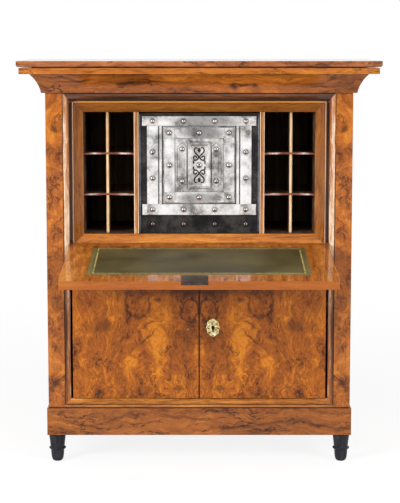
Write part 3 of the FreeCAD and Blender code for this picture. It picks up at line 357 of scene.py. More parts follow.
def french_polish(tree, shader, colour, pit, polish, edge):
    """Shellac over the wood. Painted shade, mixed with old polish and dust, darkens the corners
    within 8 mm, sharp edges are rounded in the normal, and the pores sink in. Shellac and wood have
    nearly the same index of refraction, so the wood hardly reflects and the clear coat on top does."""
    # Painted shade: ambient occlusion darkens corners and joints within 8 mm, mixed with old polish
    # and dust
    corner = add(tree, "AmbientOcclusion", {"Distance": 0.008}, samples=4).outputs["AO"]
    corner = add(tree, "MapRange", {"Value": corner, 1: 0.25, 2: 0.75, 3: 0.75, 4: 0.0})
    colour = add(tree, "Mix", {0: corner, 6: colour, 7: linear(corner_shade_and_old_polish)}, data_type="RGBA")
    rounded = add(tree, "Bevel", {"Radius": edge}, samples=4)
    sunk = {"Height": pit, "Distance": 0.0004, "Strength": 0.3, "Normal": rounded}
    sunk = add(tree, "Bump", sunk, invert=True)
    plug(shader, {"Base Color": colour, "Roughness": 0.5, "Specular IOR Level": 0.04,
                  "Normal": sunk, "Coat Weight": polish, "Coat Roughness": 0.07,
                  "Coat Normal": rounded})


# %% Walnut
tone_steps = (0.37, 0.46, 0.54, 0.64)
ink_brown, frame_shade, lipping, inside_stain = "#2A130A", "#4A3018", "#A85408", "#705640"


def walnut(name, along, tones, place=(0, 0, 0), wander=0.10, ink=0.6, eyes=0.0, width=0.055,
           stretch=0.16, fine=0.36, fold=False, knots_and_shade=(), light_figure_and_painted_light=(), rings=(), seams=(), mitre=None,
           lip=None, polish=0.6, front=None, edge=0.0012):
    """Walnut veneer under shellac.

    along: the grain's axis; tones: four hex values from dark to light; place: where it is cut
    wander: how far the bands bend; width: a band's width; stretch: the scale along the grain
    ink, eyes: the strength of ink lines and of burr eyes; fine: the share of finer streaks
    fold: opened like a book about X = 0
    knots and shade, light figure and painted light, rings: dark patches, which are knots, figure
    and painted shade; light patches, which are figure, painted light and painted highlights; and
    dark loops, each as X, Z, half-width, half-height, strength and, where there is one, tilt in
    degrees
    seams: lines of painted shade in joints and grooves and of painted highlights on edges and
    beads, as an axis, a place, a half-width, a colour and, for the front only, a rear limit
    mitre: the opening's half-width, lower and upper edge, and the painted shade of uprights and
    head
    lip: a direction, and the reach at which the lipping begins
    front: the Y limits between which polished wood changes to the stained inside
    polish: the weight of the shellac; edge: the rounding of sharp edges"""
    material, tree, shader = new_material(name)
    points = add(tree, "TexCoord").outputs["Object"]
    parts = add(tree, "SeparateXYZ", {0: points}).outputs
    x, y, z = parts["X"], parts["Y"], parts["Z"]
    if fold:
        x = add(tree, "Math", {0: x}, operation="ABSOLUTE")
    spot = add(tree, "CombineXYZ", {0: x, 2: z})

    # The grain turns in the uprights of a mitred frame and in the lipping of the flap
    if mitre:
        *opening, side_shade, head_shade = mitre
        upright, above = mitred(tree, parts["X"], z, *opening)
        x, z = (add(tree, "Mix", {0: upright, 2: a, 3: b}, data_type="FLOAT")
                for a, b in ((x, z), (z, x)))
    if lip:
        reach = add(tree, "VectorMath", {0: points, 1: lip[0]}, operation="DOT_PRODUCT")
        lipped = add(tree, "Math", {0: reach, 1: lip[1]}, operation="GREATER_THAN")
        x, y = (add(tree, "Mix", {0: lipped, 2: a, 3: b}, data_type="FLOAT")
                for a, b in ((x, z), (y, x)))
    board = add(tree, "CombineXYZ", {0: x, 1: y, 2: z})
    board = add(tree, "VectorMath", {0: board, 1: place}, operation="ADD")

    # Two bends: one of a hand's breadth, one of a thumb's, which also makes the patches ragged
    for size, reach in ((0.21, wander), (0.045, wander * 0.25)):
        bend = {"Vector": board, "Scale": 1 / size, "Detail": 3.0}
        bend = add(tree, "TexNoise", bend).outputs["Color"]
        bend = add(tree, "VectorMath", {0: bend, 1: (0.5, 0.5, 0.5)}, operation="SUBTRACT")
        bend = add(tree, "VectorMath", {0: bend, "Scale": reach}, operation="SCALE")
        board = add(tree, "VectorMath", {0: board, 1: bend}, operation="ADD")
    ragged = add(tree, "VectorMath", {0: spot, 1: bend}, operation="ADD")
    lay = tuple(stretch if axis == along else 1.0 for axis in "xyz")
    grain = add(tree, "VectorMath", {0: board, 1: lay}, operation="MULTIPLY")

    tone, dark = figure(tree, board, grain, width, fine, ink, eyes)
    tone, dark = patchwork(tree, ragged, tone, dark, light_figure_and_painted_light, knots_and_shade, rings)
    colour = add(tree, "ValToRGB", {0: tone}, stops=list(zip(tone_steps, tones)))
    colour = add(tree, "Mix", {0: dark, 6: colour, 7: linear(ink_brown)}, data_type="RGBA")
    colour = draw_seams(tree, parts, colour, seams)

    # Open pores, about 0.8 mm wide and 9 mm long, wider than in real walnut so that they show
    spread = tuple(110.0 if axis == along else 1300.0 for axis in "xyz")
    pore = add(tree, "VectorMath", {0: board, 1: spread}, operation="MULTIPLY")
    pit = blotches(tree, pore, 1.0, 0.60, 0.70, most=0.5)
    colour = add(tree, "Mix", {0: pit, 6: colour, 7: linear(tones[0])}, data_type="RGBA")

    # Painted shade on the members of a frame, a lipping and the stained inside change the colour as
    # a whole
    washes = []
    if mitre:
        shade = add(tree, "Math", {0: above, 1: head_shade}, operation="MULTIPLY")
        shade = add(tree, "Mix", {0: upright, 2: shade, 3: side_shade}, data_type="FLOAT")
        washes.append((shade, frame_shade))
    if lip:
        solid = add(tree, "Math", {0: lipped, 1: 0.75}, operation="MULTIPLY")
        washes.append((solid, lipping))
    if front:
        inside = {"Value": parts["Y"], 1: front[0], 2: front[1], 3: 0.0, 4: 0.93}
        washes.append((add(tree, "MapRange", inside), inside_stain))
    for share, tint in washes:
        colour = add(tree, "Mix", {0: share, 6: colour, 7: linear(tint)}, data_type="RGBA")
    french_polish(tree, shader, colour, pit, polish, edge)
    return material


def dress(material, *names):
    """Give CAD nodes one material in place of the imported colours."""
    for name in names:
        nodes[name].data.materials.clear()
        nodes[name].data.materials.append(material)
    print(material.name, "on", len(names), "nodes")


# %% [markdown]
# ## Boards of the carcass
# Each board gets its own cut of the walnut. The stiles are burr wood with knots, opened like a
# book. The cove of the cornice has long dark streaks and a knot to the right of the middle, the
# board above it is the palest of all, and the plinth and mouldings are straight-grained along their
# length. Thin joints between boards are drawn as seams of painted shade.

# %% Stiles and sides
warm = ("#5E2E12", "#A4602A", "#C27A35", "#DE9443")
# Painted shade in the joint above the plinth and in the gap where the doors meet
joint_shade = "#1E0E07"
plinth_joint_shade = ("Z", 0.1926, 0.0044, joint_shade)
dress(walnut("burr_walnut_stiles", "z", ("#5C2C12", "#A3591F", "#BF6C24", "#DC8A34"),
             (0.3, 0.1, 2.0), wander=0.18, ink=0.85, eyes=0.5, stretch=0.6, fold=True,
             knots_and_shade=((0.490, 1.158, 0.020, 0.020, 0.75), (0.490, 0.284, 0.018, 0.020, 0.85),
                    (0.500, 0.405, 0.012, 0.02, 0.6), (0.480, 0.56, 0.03, 0.03, 0.4, 30)),
             seams=(plinth_joint_shade,)),
      "left_stile", "right_stile")
dress(walnut("walnut_side_veneer", "z", warm, (3.1, 0.0, 0.4), wander=0.12, ink=0.45, width=0.07),
      "left_side_panel", "right_side_panel")

# %% Doors
doors_meet_shade = ("X", 0.0, 0.0030, joint_shade, 0.0068)
# Of the dark patches, the one at the middle of the doors' tops and the wide band across both tops
# are painted shade under the flap
dress(walnut("burr_walnut_doors", "z", ("#4E250E", "#9C541A", "#BC671C", "#E48C24"),
             (0.7, 0.0, 1.31), wander=0.17, ink=0.75, eyes=0.4, width=0.048, stretch=0.36,
             fine=0.46, fold=True,
             knots_and_shade=((0.050, 0.605, 0.110, 0.036, 0.85), (0.045, 0.440, 0.050, 0.060, 0.35),
                    (0.072, 0.260, 0.030, 0.013, 0.60), (0.100, 0.335, 0.012, 0.050, 0.50),
                    (0.370, 0.310, 0.042, 0.014, 0.45, 20), (0.390, 0.570, 0.045, 0.045, 0.35),
                    (0.335, 0.478, 0.045, 0.035, 0.40), (0.182, 0.434, 0.062, 0.005, 0.75, -40),
                    (0.162, 0.487, 0.052, 0.0036, 0.6, -28), (0.135, 0.570, 0.014, 0.016, 0.70),
                    (0.300, 0.262, 0.050, 0.006, 0.45, 32), (0.240, 0.615, 0.260, 0.055, 0.45)),
             light_figure_and_painted_light=((0.146, 0.400, 0.042, 0.120, 0.85), (0.112, 0.505, 0.026, 0.050, 0.60, -20),
                    (0.180, 0.300, 0.026, 0.050, 0.50), (0.225, 0.330, 0.050, 0.050, 0.45),
                    (0.030, 0.268, 0.035, 0.036, 0.50), (0.160, 0.474, 0.050, 0.010, 0.6, -32)),
             rings=((0.209, 0.560, 0.046, 0.058, 0.65), (0.034, 0.530, 0.038, 0.046, 0.70)),
             seams=(doors_meet_shade,), polish=0.4),
      "left_door", "right_door")

# %% Cornice and plinth
dress(walnut("walnut_cove", "x", ("#42200D", "#9A5520", "#BA6826", "#DA8630"), (1.2, 0.0, 0.75),
             ink=1.0, stretch=0.07,
             knots_and_shade=((0.115, 1.300, 0.022, 0.014, 0.9), (0.150, 1.304, 0.045, 0.006, 0.9),
                    (0.185, 1.301, 0.014, 0.010, 0.8), (-0.180, 1.312, 0.16, 0.006, 0.6),
                    (-0.420, 1.318, 0.10, 0.005, 0.55), (0.400, 1.300, 0.14, 0.005, 0.5))),
      "cornice_cove")
dress(walnut("pale_walnut_fillet", "x", ("#7E4218", "#B4682A", "#C47630", "#DA8C3C"),
             (0.4, 0.7, 0.2), wander=0.06, ink=0.7, width=0.035, stretch=0.08, polish=0.4),
      "cornice_board")
dress(walnut("walnut_top", "x", ("#532810", "#9E5A30", "#B86E3C", "#CE8446"), (2.2, 0.1, 0.0),
             wander=0.09, ink=0.9, width=0.050, stretch=0.12, polish=1.0), "top_board")
dress(walnut("walnut_plinth", "x", ("#4A230E", "#92521F", "#AC6226", "#C8782F"), (0.9, 0.0, 1.35),
             wander=0.11, ink=1.0, width=0.035, stretch=0.10,
             knots_and_shade=((-0.475, 0.178, 0.020, 0.010, 0.6), (-0.215, 0.168, 0.014, 0.008, 0.7),
                    (-0.270, 0.128, 0.010, 0.007, 0.7), (-0.30, 0.150, 0.16, 0.007, 0.4, 14),
                    (-0.05, 0.160, 0.14, 0.007, 0.45, -8), (0.25, 0.140, 0.16, 0.007, 0.45, 8))),
      "plinth")

# %% Rails and outer mouldings
# On the uprights, the palest tone and the light patch are a painted highlight along the outer side,
# and the two dark patches low down are painted shade under the flap
dress(walnut("walnut_upright_mouldings", "z", ("#5A2C12", "#9A5424", "#BE7636", "#F8DEC0"),
             (0.2, 0.0, 0.9), wander=0.02, ink=0.25, width=0.02, stretch=0.05, polish=0.7,
             edge=0.0035, fold=True,
             knots_and_shade=((0.4585, 0.46, 0.0085, 0.32, 0.90), (0.4435, 0.46, 0.0040, 0.32, 0.60)),
             light_figure_and_painted_light=((0.4560, 1.12, 0.0130, 0.52, 1.0),)),
      "moulding_left", "moulding_right")
rail_cut = dict(place=(0.7, 0.0, 0.2), wander=0.03, ink=0.45, width=0.025, stretch=0.06,
                polish=1.0, edge=0.0035)
# The head moulding and head rail are a darker copy of the rail walnut: painted shade under the
# cornice
dress(walnut("walnut_head_in_painted_shade", "x", ("#2E160C", "#573019", "#6E3F20", "#8A522A"), **rail_cut),
      "moulding_top", "head_rail")
dress(walnut("walnut_sill", "x", ("#5A2C12", "#AC6526", "#C67C2E", "#E0943C"), **rail_cut,
             seams=(plinth_joint_shade,)),
      "moulding_bottom", "mid_rail", "sill_rail")

# %% Stop bead and canted frame
# Painted shade in the groove beside each bead, and painted highlights along the beads
quirk_shade = "#3A1B0C"  # the dark groove beside a bead
bead_shade_and_highlights = [("X", side * x, half, tint) for side in (-1, 1)
              for x, half, tint in ((0.4386, 0.0042, quirk_shade), (0.4317, 0.0024, "#EACBA6"))]
bead_shade_and_highlights += [("Z", 1.2532, 0.0042, quirk_shade), ("Z", 1.2457, 0.0036, "#F0A24C")]
dress(walnut("walnut_stop_bead", "x", ("#4A2410", "#8E5226", "#B06C32", "#CC8642"),
             (0.1, 0.2, 0.5), wander=0.02, ink=0.3, width=0.02, stretch=0.06, polish=1.0,
             mitre=(0.4276, 0.60, 1.2422, 0.0, 0.0), seams=bead_shade_and_highlights),
      "stop_bead_left", "stop_bead_right", "stop_bead_top")
# Painted shade darkens the frame's uprights and, a little more, its head
dress(walnut("walnut_canted_frame", "x", ("#6B3513", "#AC642A", "#C87A32", "#E0943E"),
             (0.5, 0.3, 0.1), wander=0.05, ink=0.3, width=0.03, stretch=0.07,
             mitre=(0.3966, 0.792, 1.2102, 0.35, 0.42)), "gallery_frame")

# %% [markdown]
# ## Writing flap and inside
# The lowered flap droops a little below level. Its front edge has a lipping with the grain along
# the edge, so the veneer needs the direction in which the flap reaches out. The inside of the
# pigeonholes is only stained, while the noses of posts, dividers and shelves are polished, with
# painted highlights on the arrises of the posts and on the shelf noses.

# %% Writing flap
droop = math.radians(6.5)
pivot_y, pivot_z = 0.018, 0.750
flap_reach, lipping_depth = 0.506, 0.0006
outward = (0.0, -math.cos(droop), -math.sin(droop))
flap_edge = flap_reach - pivot_y * math.cos(droop) - pivot_z * math.sin(droop) - lipping_depth
# The light patch on the left margin is painted light, and the dark band along the hinge is painted
# shadow of the carcass
dress(walnut("walnut_flap", "y", ("#7A3E16", "#B4682A", "#CC7A30", "#EE9C44"), (0.6, 0.2, 0.3),
             wander=0.04, ink=0.25, width=0.022, stretch=0.10, polish=0.7, edge=0.003,
             lip=(outward, flap_edge), light_figure_and_painted_light=((-0.435, 0.700, 0.090, 0.08, 1.0),),
             knots_and_shade=((0.0, 0.7665, 5.0, 0.0100, 0.50),)),
      "flap_panel")

# %% Inside of the carcass
dress(walnut("stained_inside", "y", ("#46342A", "#5C4636", "#6E5442", "#7E624C"), (0.0, 0.6, 0.1),
             wander=0.04, ink=0.2, width=0.05, polish=0.15),
      "gallery_floor", "gallery_sides", "gallery_top", "bottom_board", "cupboard_shelf")
dress(walnut("walnut_desk_floor", "x", warm, (0.8, 0.2, 0.0), wander=0.06, ink=0.3, width=0.04),
      "desk_floor")

# %% Posts, dividers and shelves
# Painted highlights on the arrises of the posts, with a darker line just beside the inner one
arris_highlight = "#F4DCC0"
post_lines = [("X", side * x, 0.0016, tint) for side in (-1, 1)
              for x, tint in ((0.2092, arris_highlight), (0.2122, "#7A4220"), (0.2226, arris_highlight))]
dress(walnut("walnut_posts", "z", ("#7A4218", "#B4702E", "#CC8A46", "#E0A866"), (0.2, 0.5, 0.7),
             wander=0.02, ink=0.2, width=0.02, stretch=0.05, front=(0.072, 0.085), polish=1.0,
             edge=0.003, seams=post_lines),
      "left_safe_post", "right_safe_post")
dress(walnut("pale_divider_noses", "z", ("#C48A50", "#E0B480", "#F0CFA4", "#FBE6C8"),
             (0.3, 0.1, 0.2), wander=0.02, ink=0.15, width=0.02, stretch=0.05,
             front=(0.101, 0.106)),
      "left_divider", "right_divider")
# The palest tone and the light patches are painted highlights on the curved noses
dress(walnut("dark_shelf_noses", "x", ("#4E2418", "#7A4230", "#9A5C46", "#FBE4DA"),
             (0.4, 0.0, 0.6), wander=0.02, ink=0.2, width=0.02, stretch=0.06, polish=1.0,
             front=(0.104, 0.120), edge=0.003, fold=True,
             light_figure_and_painted_light=((0.3595, 0.996, 0.030, 0.40, 0.9), (0.263, 0.996, 0.030, 0.40, 0.9))),
      "left_upper_shelf", "left_lower_shelf", "right_upper_shelf", "right_lower_shelf")

# %% [markdown]
# ## The back
# The back of such a cabinet stands against a wall and was never veneered or polished. It is a
# plain softwood panel, planed by hand, grey-brown with age, with growth rings about 20 mm apart.
# The same idea as the walnut, with less of everything, gives straight grain, and a slow wave of
# about 55 mm in the bump gives the hollows of the plane.

# %% Old softwood back
material, tree, shader = new_material("old_planed_softwood")
points = add(tree, "TexCoord").outputs["Object"]
bend = add(tree, "TexNoise", {"Vector": points, "Scale": 3.0, "Detail": 2.0}).outputs["Color"]
bend = add(tree, "VectorMath", {0: bend, "Scale": 0.05}, operation="SCALE")
board = add(tree, "VectorMath", {0: points, 1: bend}, operation="ADD")
grain = add(tree, "VectorMath", {0: board, 1: (45, 45, 2.0)}, operation="MULTIPLY")
growth = add(tree, "TexNoise", {"Vector": grain, "Scale": 1.0, "Detail": 5.0})
softwood = ((0.35, "#6E5334"), (0.5, "#8F7048"), (0.65, "#A98B5F"))
colour = add(tree, "ValToRGB", {0: growth}, stops=softwood)
hollow = add(tree, "TexNoise", {"Vector": points, "Scale": 18.0, "Detail": 1.0})
planed = add(tree, "Mix", {0: 0.4, 2: hollow, 3: growth}, data_type="FLOAT")
bump = add(tree, "Bump", {"Height": planed, "Distance": 0.002, "Strength": 0.4})
plug(shader, {"Base Color": colour, "Roughness": 0.75, "Normal": bump})
dress(material, "back_panel")

# %% [markdown]
# ## Metals
# The strongbox is wrapped in wrought straps that were filed bright and have gone patchy grey, on
# blackened plates. One function makes every metal: a cloudy tone, fine file marks along the straps
# and a roughness that follows the clouds. Straps and plates have a skin of oxide, which is why
# they are only half metallic and keep their grey where they mirror nothing. Iron is the same idea,
# much darker. Brass is gilt on the keyhole plate, and plain on the pivots.

# %% Metal
cloud_steps = (0.38, 0.48, 0.58)
# The second colour is painted shade with dirt, which darkens corners and the feet of the rivets
dull_iron, strongbox_shade_and_grime = "#2C2A2A", "#17130F"


def metal(name, tones, rough, cloud=0.05, marks=0.0012, lay=(1, 1, 1), relief=0.15, pure=1.0,
          corner_shade_and_grime=0.95, dull=()):
    """A worked metal: clouds of some centimetres mix three tones, file marks of about a millimetre
    dent it, and painted shade, mixed with dirt, darkens the corners within 6 mm.

    rough: the roughness of dark and of light clouds; cloud, marks: their sizes in metres
    lay: the scale of the marks on each axis; relief: their depth; pure: the share of bare metal
    corner shade and grime: the strength of the painted shade and dirt in the corners
    dull: darker places as X, Z, half-width, half-height and strength"""
    material, tree, shader = new_material(name)
    points = add(tree, "TexCoord").outputs["Object"]
    clouds = {"Vector": points, "Scale": 1 / cloud, "Detail": 6.0, "Roughness": 0.65}
    clouds = add(tree, "TexNoise", clouds)
    drawn = add(tree, "VectorMath", {0: points, 1: lay}, operation="MULTIPLY")
    filed = add(tree, "TexNoise", {"Vector": drawn, "Scale": 1 / marks, "Detail": 3.0})
    tone = add(tree, "Mix", {0: 0.30, 2: clouds, 3: filed}, data_type="FLOAT")
    colour = add(tree, "ValToRGB", {0: tone}, stops=list(zip(cloud_steps, tones)))
    for x, z, half_width, half_height, strength in dull:
        away = add(tree, "VectorMath", {0: points, 1: (x, 0, z)}, operation="SUBTRACT")
        squeeze = (1 / half_width, 0, 1 / half_height)
        away = add(tree, "VectorMath", {0: away, 1: squeeze}, operation="MULTIPLY")
        away = add(tree, "VectorMath", {0: away}, operation="LENGTH")
        fall = add(tree, "MapRange", {"Value": away, 1: 0.5, 2: 1.0, 3: strength, 4: 0.0})
        fall = add(tree, "Math", {0: fall, 1: clouds}, operation="MULTIPLY")
        colour = add(tree, "Mix", {0: fall, 6: colour, 7: linear(dull_iron)}, data_type="RGBA")
    # Painted shade: ambient occlusion darkens corners within 6 mm and rings the foot of each rivet,
    # mixed with dirt
    corner = add(tree, "AmbientOcclusion", {"Distance": 0.006}, samples=4).outputs["AO"]
    corner = add(tree, "MapRange", {"Value": corner, 1: 0.40, 2: 0.95, 3: corner_shade_and_grime, 4: 0.0})
    colour = add(tree, "Mix", {0: corner, 6: colour, 7: linear(strongbox_shade_and_grime)}, data_type="RGBA")
    worn = add(tree, "MapRange", {"Value": tone, 1: 0.35, 2: 0.65, 3: rough[0], 4: rough[1]})
    rounded = add(tree, "Bevel", {"Radius": 0.001}, samples=4)
    dents = {"Height": tone, "Distance": 0.0006, "Strength": relief, "Normal": rounded}
    dents = add(tree, "Bump", dents)
    plug(shader, {"Base Color": colour, "Metallic": pure, "Roughness": worn, "Normal": dents})
    return material


# %% Steel of the strongbox
# Filed straps and plates: broad, soft highlights over grey clouds
straps = metal("burnished_steel_straps", ("#737170", "#D8D6D4", "#FFFFFF"), (0.46, 0.32),
               cloud=0.06, lay=(1, 1, 0.3), relief=0.10, pure=0.5,
               dull=((0.02, 1.180, 0.130, 0.030, 1.0), (0.01, 1.140, 0.090, 0.030, 1.2),
                     (0.0, 0.915, 0.085, 0.024, 0.9)))
plate = metal("burnished_steel_plate", ("#706E6D", "#C0BDBA", "#F2F0EE"), (0.48, 0.34),
              lay=(0.4, 1, 1), pure=0.5,
              dull=((0.0585, 1.068, 0.018, 0.016, 1.3), (-0.0585, 1.025, 0.012, 0.05, 0.5)))
lap_steel = metal("bright_lap_steel", ("#7E7C7B", "#C4C1BE", "#F2EFEC"), (0.42, 0.30), cloud=0.025,
                  relief=0.12, pure=0.5)
# Pale steel for the bars on the black frame's edges, which paint a highlight along each edge
edge_highlight_steel = metal("painted_edge_highlight_steel", ("#55575D", "#75777D", "#96989E"), (0.36, 0.26), relief=0.05,
                   corner_shade_and_grime=0.0)
# Rivet heads are smoothest, so that each shows the lamps as small bright dots
bright = metal("polished_stud_steel", ("#8A8785", "#B8B5B3", "#DCD9D6"), (0.20, 0.14), cloud=0.02,
               relief=0.03, corner_shade_and_grime=0.5)
dark_studs = metal("blackened_studs", ("#625F5E", "#72706E", "#82807E"), (0.14, 0.10), relief=0.02,
                   corner_shade_and_grime=0.3)
dress(straps, "safe_frame_straps", "safe_door_straps")
dress(plate, "safe_door_plate", "safe_door_side_plates", "keyhole_cover")

# %% Iron and brass
# Blackened and lock iron are dark and dull, brass warm and a little worn, gilding pale and bright
black = metal("blackened_iron_plate", ("#141315", "#242225", "#46433F"), (0.45, 0.30),
              lay=(0.3, 1, 1), pure=0.6)
lock_iron = metal("dark_lock_iron", ("#2A211B", "#43372E", "#5E5044"), (0.42, 0.30), pure=0.7)
brass = metal("aged_brass", ("#7A5A22", "#B8923F", "#DDBD6C"), (0.34, 0.22), cloud=0.02)
gilt = metal("gilt_brass", ("#94793C", "#CDB572", "#F0E4B4"), (0.30, 0.18), cloud=0.012)
dress(black, "safe_body", "safe_front_frame")
dress(lock_iron, "flap_lock", "flap_lock_bolt", "door_lock", "safe_lock_case", "safe_bolt",
      "door_lock_bolt", "left_door_bolt", "left_door_bolt_plate")
dress(brass, "flap_hinge_leaves", "flap_pivot_plates", "door_pivots")

# %% [markdown]
# ## Turned feet
# The feet are turned and ebonised: a tapering neck, a thin ring, and a foot with a rounded tip. A
# turned form is a profile carried round an axis, so the feet are one profile and one circle,
# repeated at the four corners.


# %% Lathe
def lathe(profile, centres, axis="z", steps=48):
    """Grids of a turned form: each point (radius, height) of the profile goes round a circle, so a
    point is the centre plus radius times (cos, sin) across the axis and the height along it."""
    profile = np.asarray(profile, float)
    angle = full_turn(steps)
    u = profile[:, :1] * np.cos(angle)
    v = profile[:, :1] * np.sin(angle)
    h = np.repeat(profile[:, 1:], steps + 1, axis=1)
    order = {"z": (u, v, h), "y": (u, h, v)}[axis]
    return np.asarray(centres, float)[:, None, None, :] + np.stack(order, -1)[None]


# %% Smooth line
def smooth_line(points, count):
    """A curve through points: each coordinate is a cubic between neighbours, with the slope at a
    point taken from the points on both sides of it."""
    points = np.asarray(points, float)
    slope = np.gradient(points, axis=0)
    place = np.linspace(0, len(points) - 1, count)
    left = np.minimum(place.astype(int), len(points) - 2)
    t = (place - left)[:, None]
    a, b = points[left], points[left + 1]
    return ((2 * t**3 - 3 * t**2 + 1) * a + (t**3 - 2 * t**2 + t) * slope[left]
            + (3 * t**2 - 2 * t**3) * b + (t**3 - t**2) * slope[left + 1])


# %% Pieces that ride
def add_piece(name, grids, material, body):
    """Make a piece from grids, finish it and let it ride on a body."""
    thing = piece(name, grids)
    thing.data.materials.append(material)
    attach(thing, body)
    return thing


# %% Feet
mm = 1 / 1000
neck = [(0, 98.6), (30.2, 98.6), (28.4, 88.0), (26.2, 70.0), (24.6, 53.6)]
ring = smooth_line([(24.4, 53.0), (24.8, 51.2), (28.6, 49.2), (29.0, 46.6), (27.8, 44.0),
                    (23.2, 41.8)], 18)
tip = smooth_line([(22.8, 40.6), (22.6, 33.0), (21.8, 22.0), (20.4, 13.0), (18.0, 6.0),
                   (13.4, 1.4), (9.0, 0.0)], 24)
profile = np.vstack([neck, ring, tip, [(0, 0.0)]]) * mm
corners = [(x, y, 0) for x in (-0.4935, 0.4935) for y in (0.0305, 0.4555)]
ebonised = walnut("ebonised_beech", "z", ("#1E1E23", "#2A2A30", "#34343B", "#404048"), wander=0.02,
                  ink=0.1, width=0.02, polish=0.25)
feet = add_piece("turned_feet", lathe(profile, corners), ebonised, "carcass")
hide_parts("feet")
dress(ebonised, "feet")

# %% [markdown]
# ## Studs
# The straps are held by dome-headed rivets. Half spheres would stand too proud, so each is a
# quarter of an ellipse turned about the Y axis, with its foot in the strap. A whole row is one
# array of centres added to one dome. The lowest row sits on the black plate and was blackened with
# it.


# %% Domed studs
def domes(centres, radius, height, foot=0.0004):
    """Grids of dome heads that face the viewer (towards -Y): radius times cosine, height times
    sine, from a foot inside the strap to the tip."""
    t = np.linspace(0, math.pi / 2, 9)
    profile = np.vstack([[(0, foot), (radius, foot)],
                         np.stack([radius * np.cos(t), -height * np.sin(t)], -1)])
    profile[-1, 0] = 0.0
    return lathe(profile, centres, axis="y", steps=28)


stud_radius, stud_height = 0.0092, 0.007
strap_face, frame_face = 0.067, 0.070
door_middle = 1.0285
top_strap_z, low_strap_z = 1.1795, 0.8755
stud_x = 0.160
columns = (-stud_x, -0.0533, 0.0533, stud_x)
strap_x, plate_x = 0.10225, 0.0585
strap_z = (0.91775, 1.13925)


def crossings(columns, rows, face=strap_face):
    """Centres on a face, wherever a column crosses a row."""
    return [(x, face, z) for z in rows for x in columns]


frame_studs = crossings(columns, (top_strap_z, low_strap_z))
frame_studs += crossings((-stud_x, stud_x), (0.9837, 1.0733))
base_studs = crossings(columns, (0.8245,), frame_face)
door_studs = crossings((-strap_x, 0.0, strap_x), strap_z)
door_studs += crossings((-strap_x, strap_x), (door_middle,))
door_studs += crossings((-plate_x, plate_x), (0.9731, 1.0839))
for name, centres, finish, body, node in (
        ("frame_rivets", frame_studs, bright, "carcass", "safe_frame_studs"),
        ("base_rivets", base_studs, dark_studs, "carcass", "safe_frame_studs"),
        ("door_rivets", door_studs, bright, "safe_door", "safe_door_studs")):
    studs = add_piece(name, domes(centres, stud_radius, stud_height), finish, body)
    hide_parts(node)
dress(bright, "safe_frame_studs", "safe_door_studs")

# %% [markdown]
# ## Laps, tongues and scrolls
# Where two straps cross, the upper one lies over the lower as a thin square, and the side plates
# of the little door carry a raised tongue between their rivets. Bevelled boxes would look cut
# by machine, so these plates are one formula: a superellipse outline whose height falls at the
# edge. The cover of the keyhole is inlaid with black scrolls, which are flat tubes along a smooth
# line, mirrored to the four quarters, with a boss in the middle and a lozenge at each end.


# %% Thin plates
def thin_plates(centres, half_width, half_height, rise, power=14.0):
    """Grids of plates that face -Y: the outline is a superellipse, |x/a|^n + |z/b|^n = 1, drawn in
    towards its centre, and the height is full inside and falls away over the last part."""
    angle = full_turn(96)
    u = np.sign(np.cos(angle)) * np.abs(np.cos(angle)) ** (2 / power) * half_width
    v = np.sign(np.sin(angle)) * np.abs(np.sin(angle)) ** (2 / power) * half_height
    s = np.array([0, 0.5, 0.93, 0.975, 1.0, 1.0, 0.0])[:, None]
    h = np.array([1, 1, 1, 0.85, 0.45, -0.3, -0.3])[:, None] * rise
    grid = np.stack([u * s, -h + 0 * angle, v * s], -1)
    return np.asarray(centres, float)[:, None, None, :] + grid[None]


# %% Laps and tongues
top_laps = crossings((-0.1685, 0.1685), (top_strap_z,))
low_laps = crossings((-stud_x, stud_x), (low_strap_z,))
frame_laps = np.concatenate([thin_plates(top_laps, 0.0265, 0.0160, 0.0012),
                             thin_plates(low_laps, 0.0188, 0.0182, 0.0012)])
add_piece("frame_strap_laps", frame_laps, lap_steel, "carcass")
# Thinner than those of the frame, so that the door can swing
door_laps = thin_plates(crossings((-strap_x, strap_x), strap_z), 0.0174, 0.0174, 0.0006)
add_piece("door_strap_laps", door_laps, lap_steel, "safe_door")
tongues = thin_plates(crossings((-plate_x, plate_x), (door_middle,)), 0.0066, 0.0325, 0.0016)
add_piece("side_plate_tongues", tongues, plate, "safe_door")
# Pale bars along the outer edges of the black frame: a painted highlight
edge_highlight_bars = crossings((-0.2038, 0.2038), (0.9990,), frame_face)
edge_highlight_bars = thin_plates(edge_highlight_bars, 0.0021, 0.2050, 0.0014, power=40.0)
add_piece("frame_edge_highlight_bars", edge_highlight_bars, edge_highlight_steel, "carcass")


# %% Flat tubes
def flat_tubes(lines, half_width, rise, face, middle):
    """Grids of flat tubes along lines in the XZ plane: across the line the half-width times
    cosine, outwards the rise times sine, both shrinking to nothing at the two ends."""
    lines = np.asarray(lines, float)
    along = np.gradient(lines, axis=1)
    along /= np.linalg.norm(along, axis=-1, keepdims=True)
    across = np.stack([-along[..., 1], along[..., 0]], -1)
    t = np.linspace(-1, 1, lines.shape[1])
    taper = (np.sqrt(np.clip(1 - t**8, 0, 1)))[None, :, None]
    turn = full_turn(12)
    u = lines[..., None, 0] + across[..., None, 0] * half_width * taper * np.cos(turn)
    w = lines[..., None, 1] + across[..., None, 1] * half_width * taper * np.cos(turn)
    y = face - rise * taper * np.sin(turn) + 0 * u
    return np.stack([u, y, w + middle], -1)


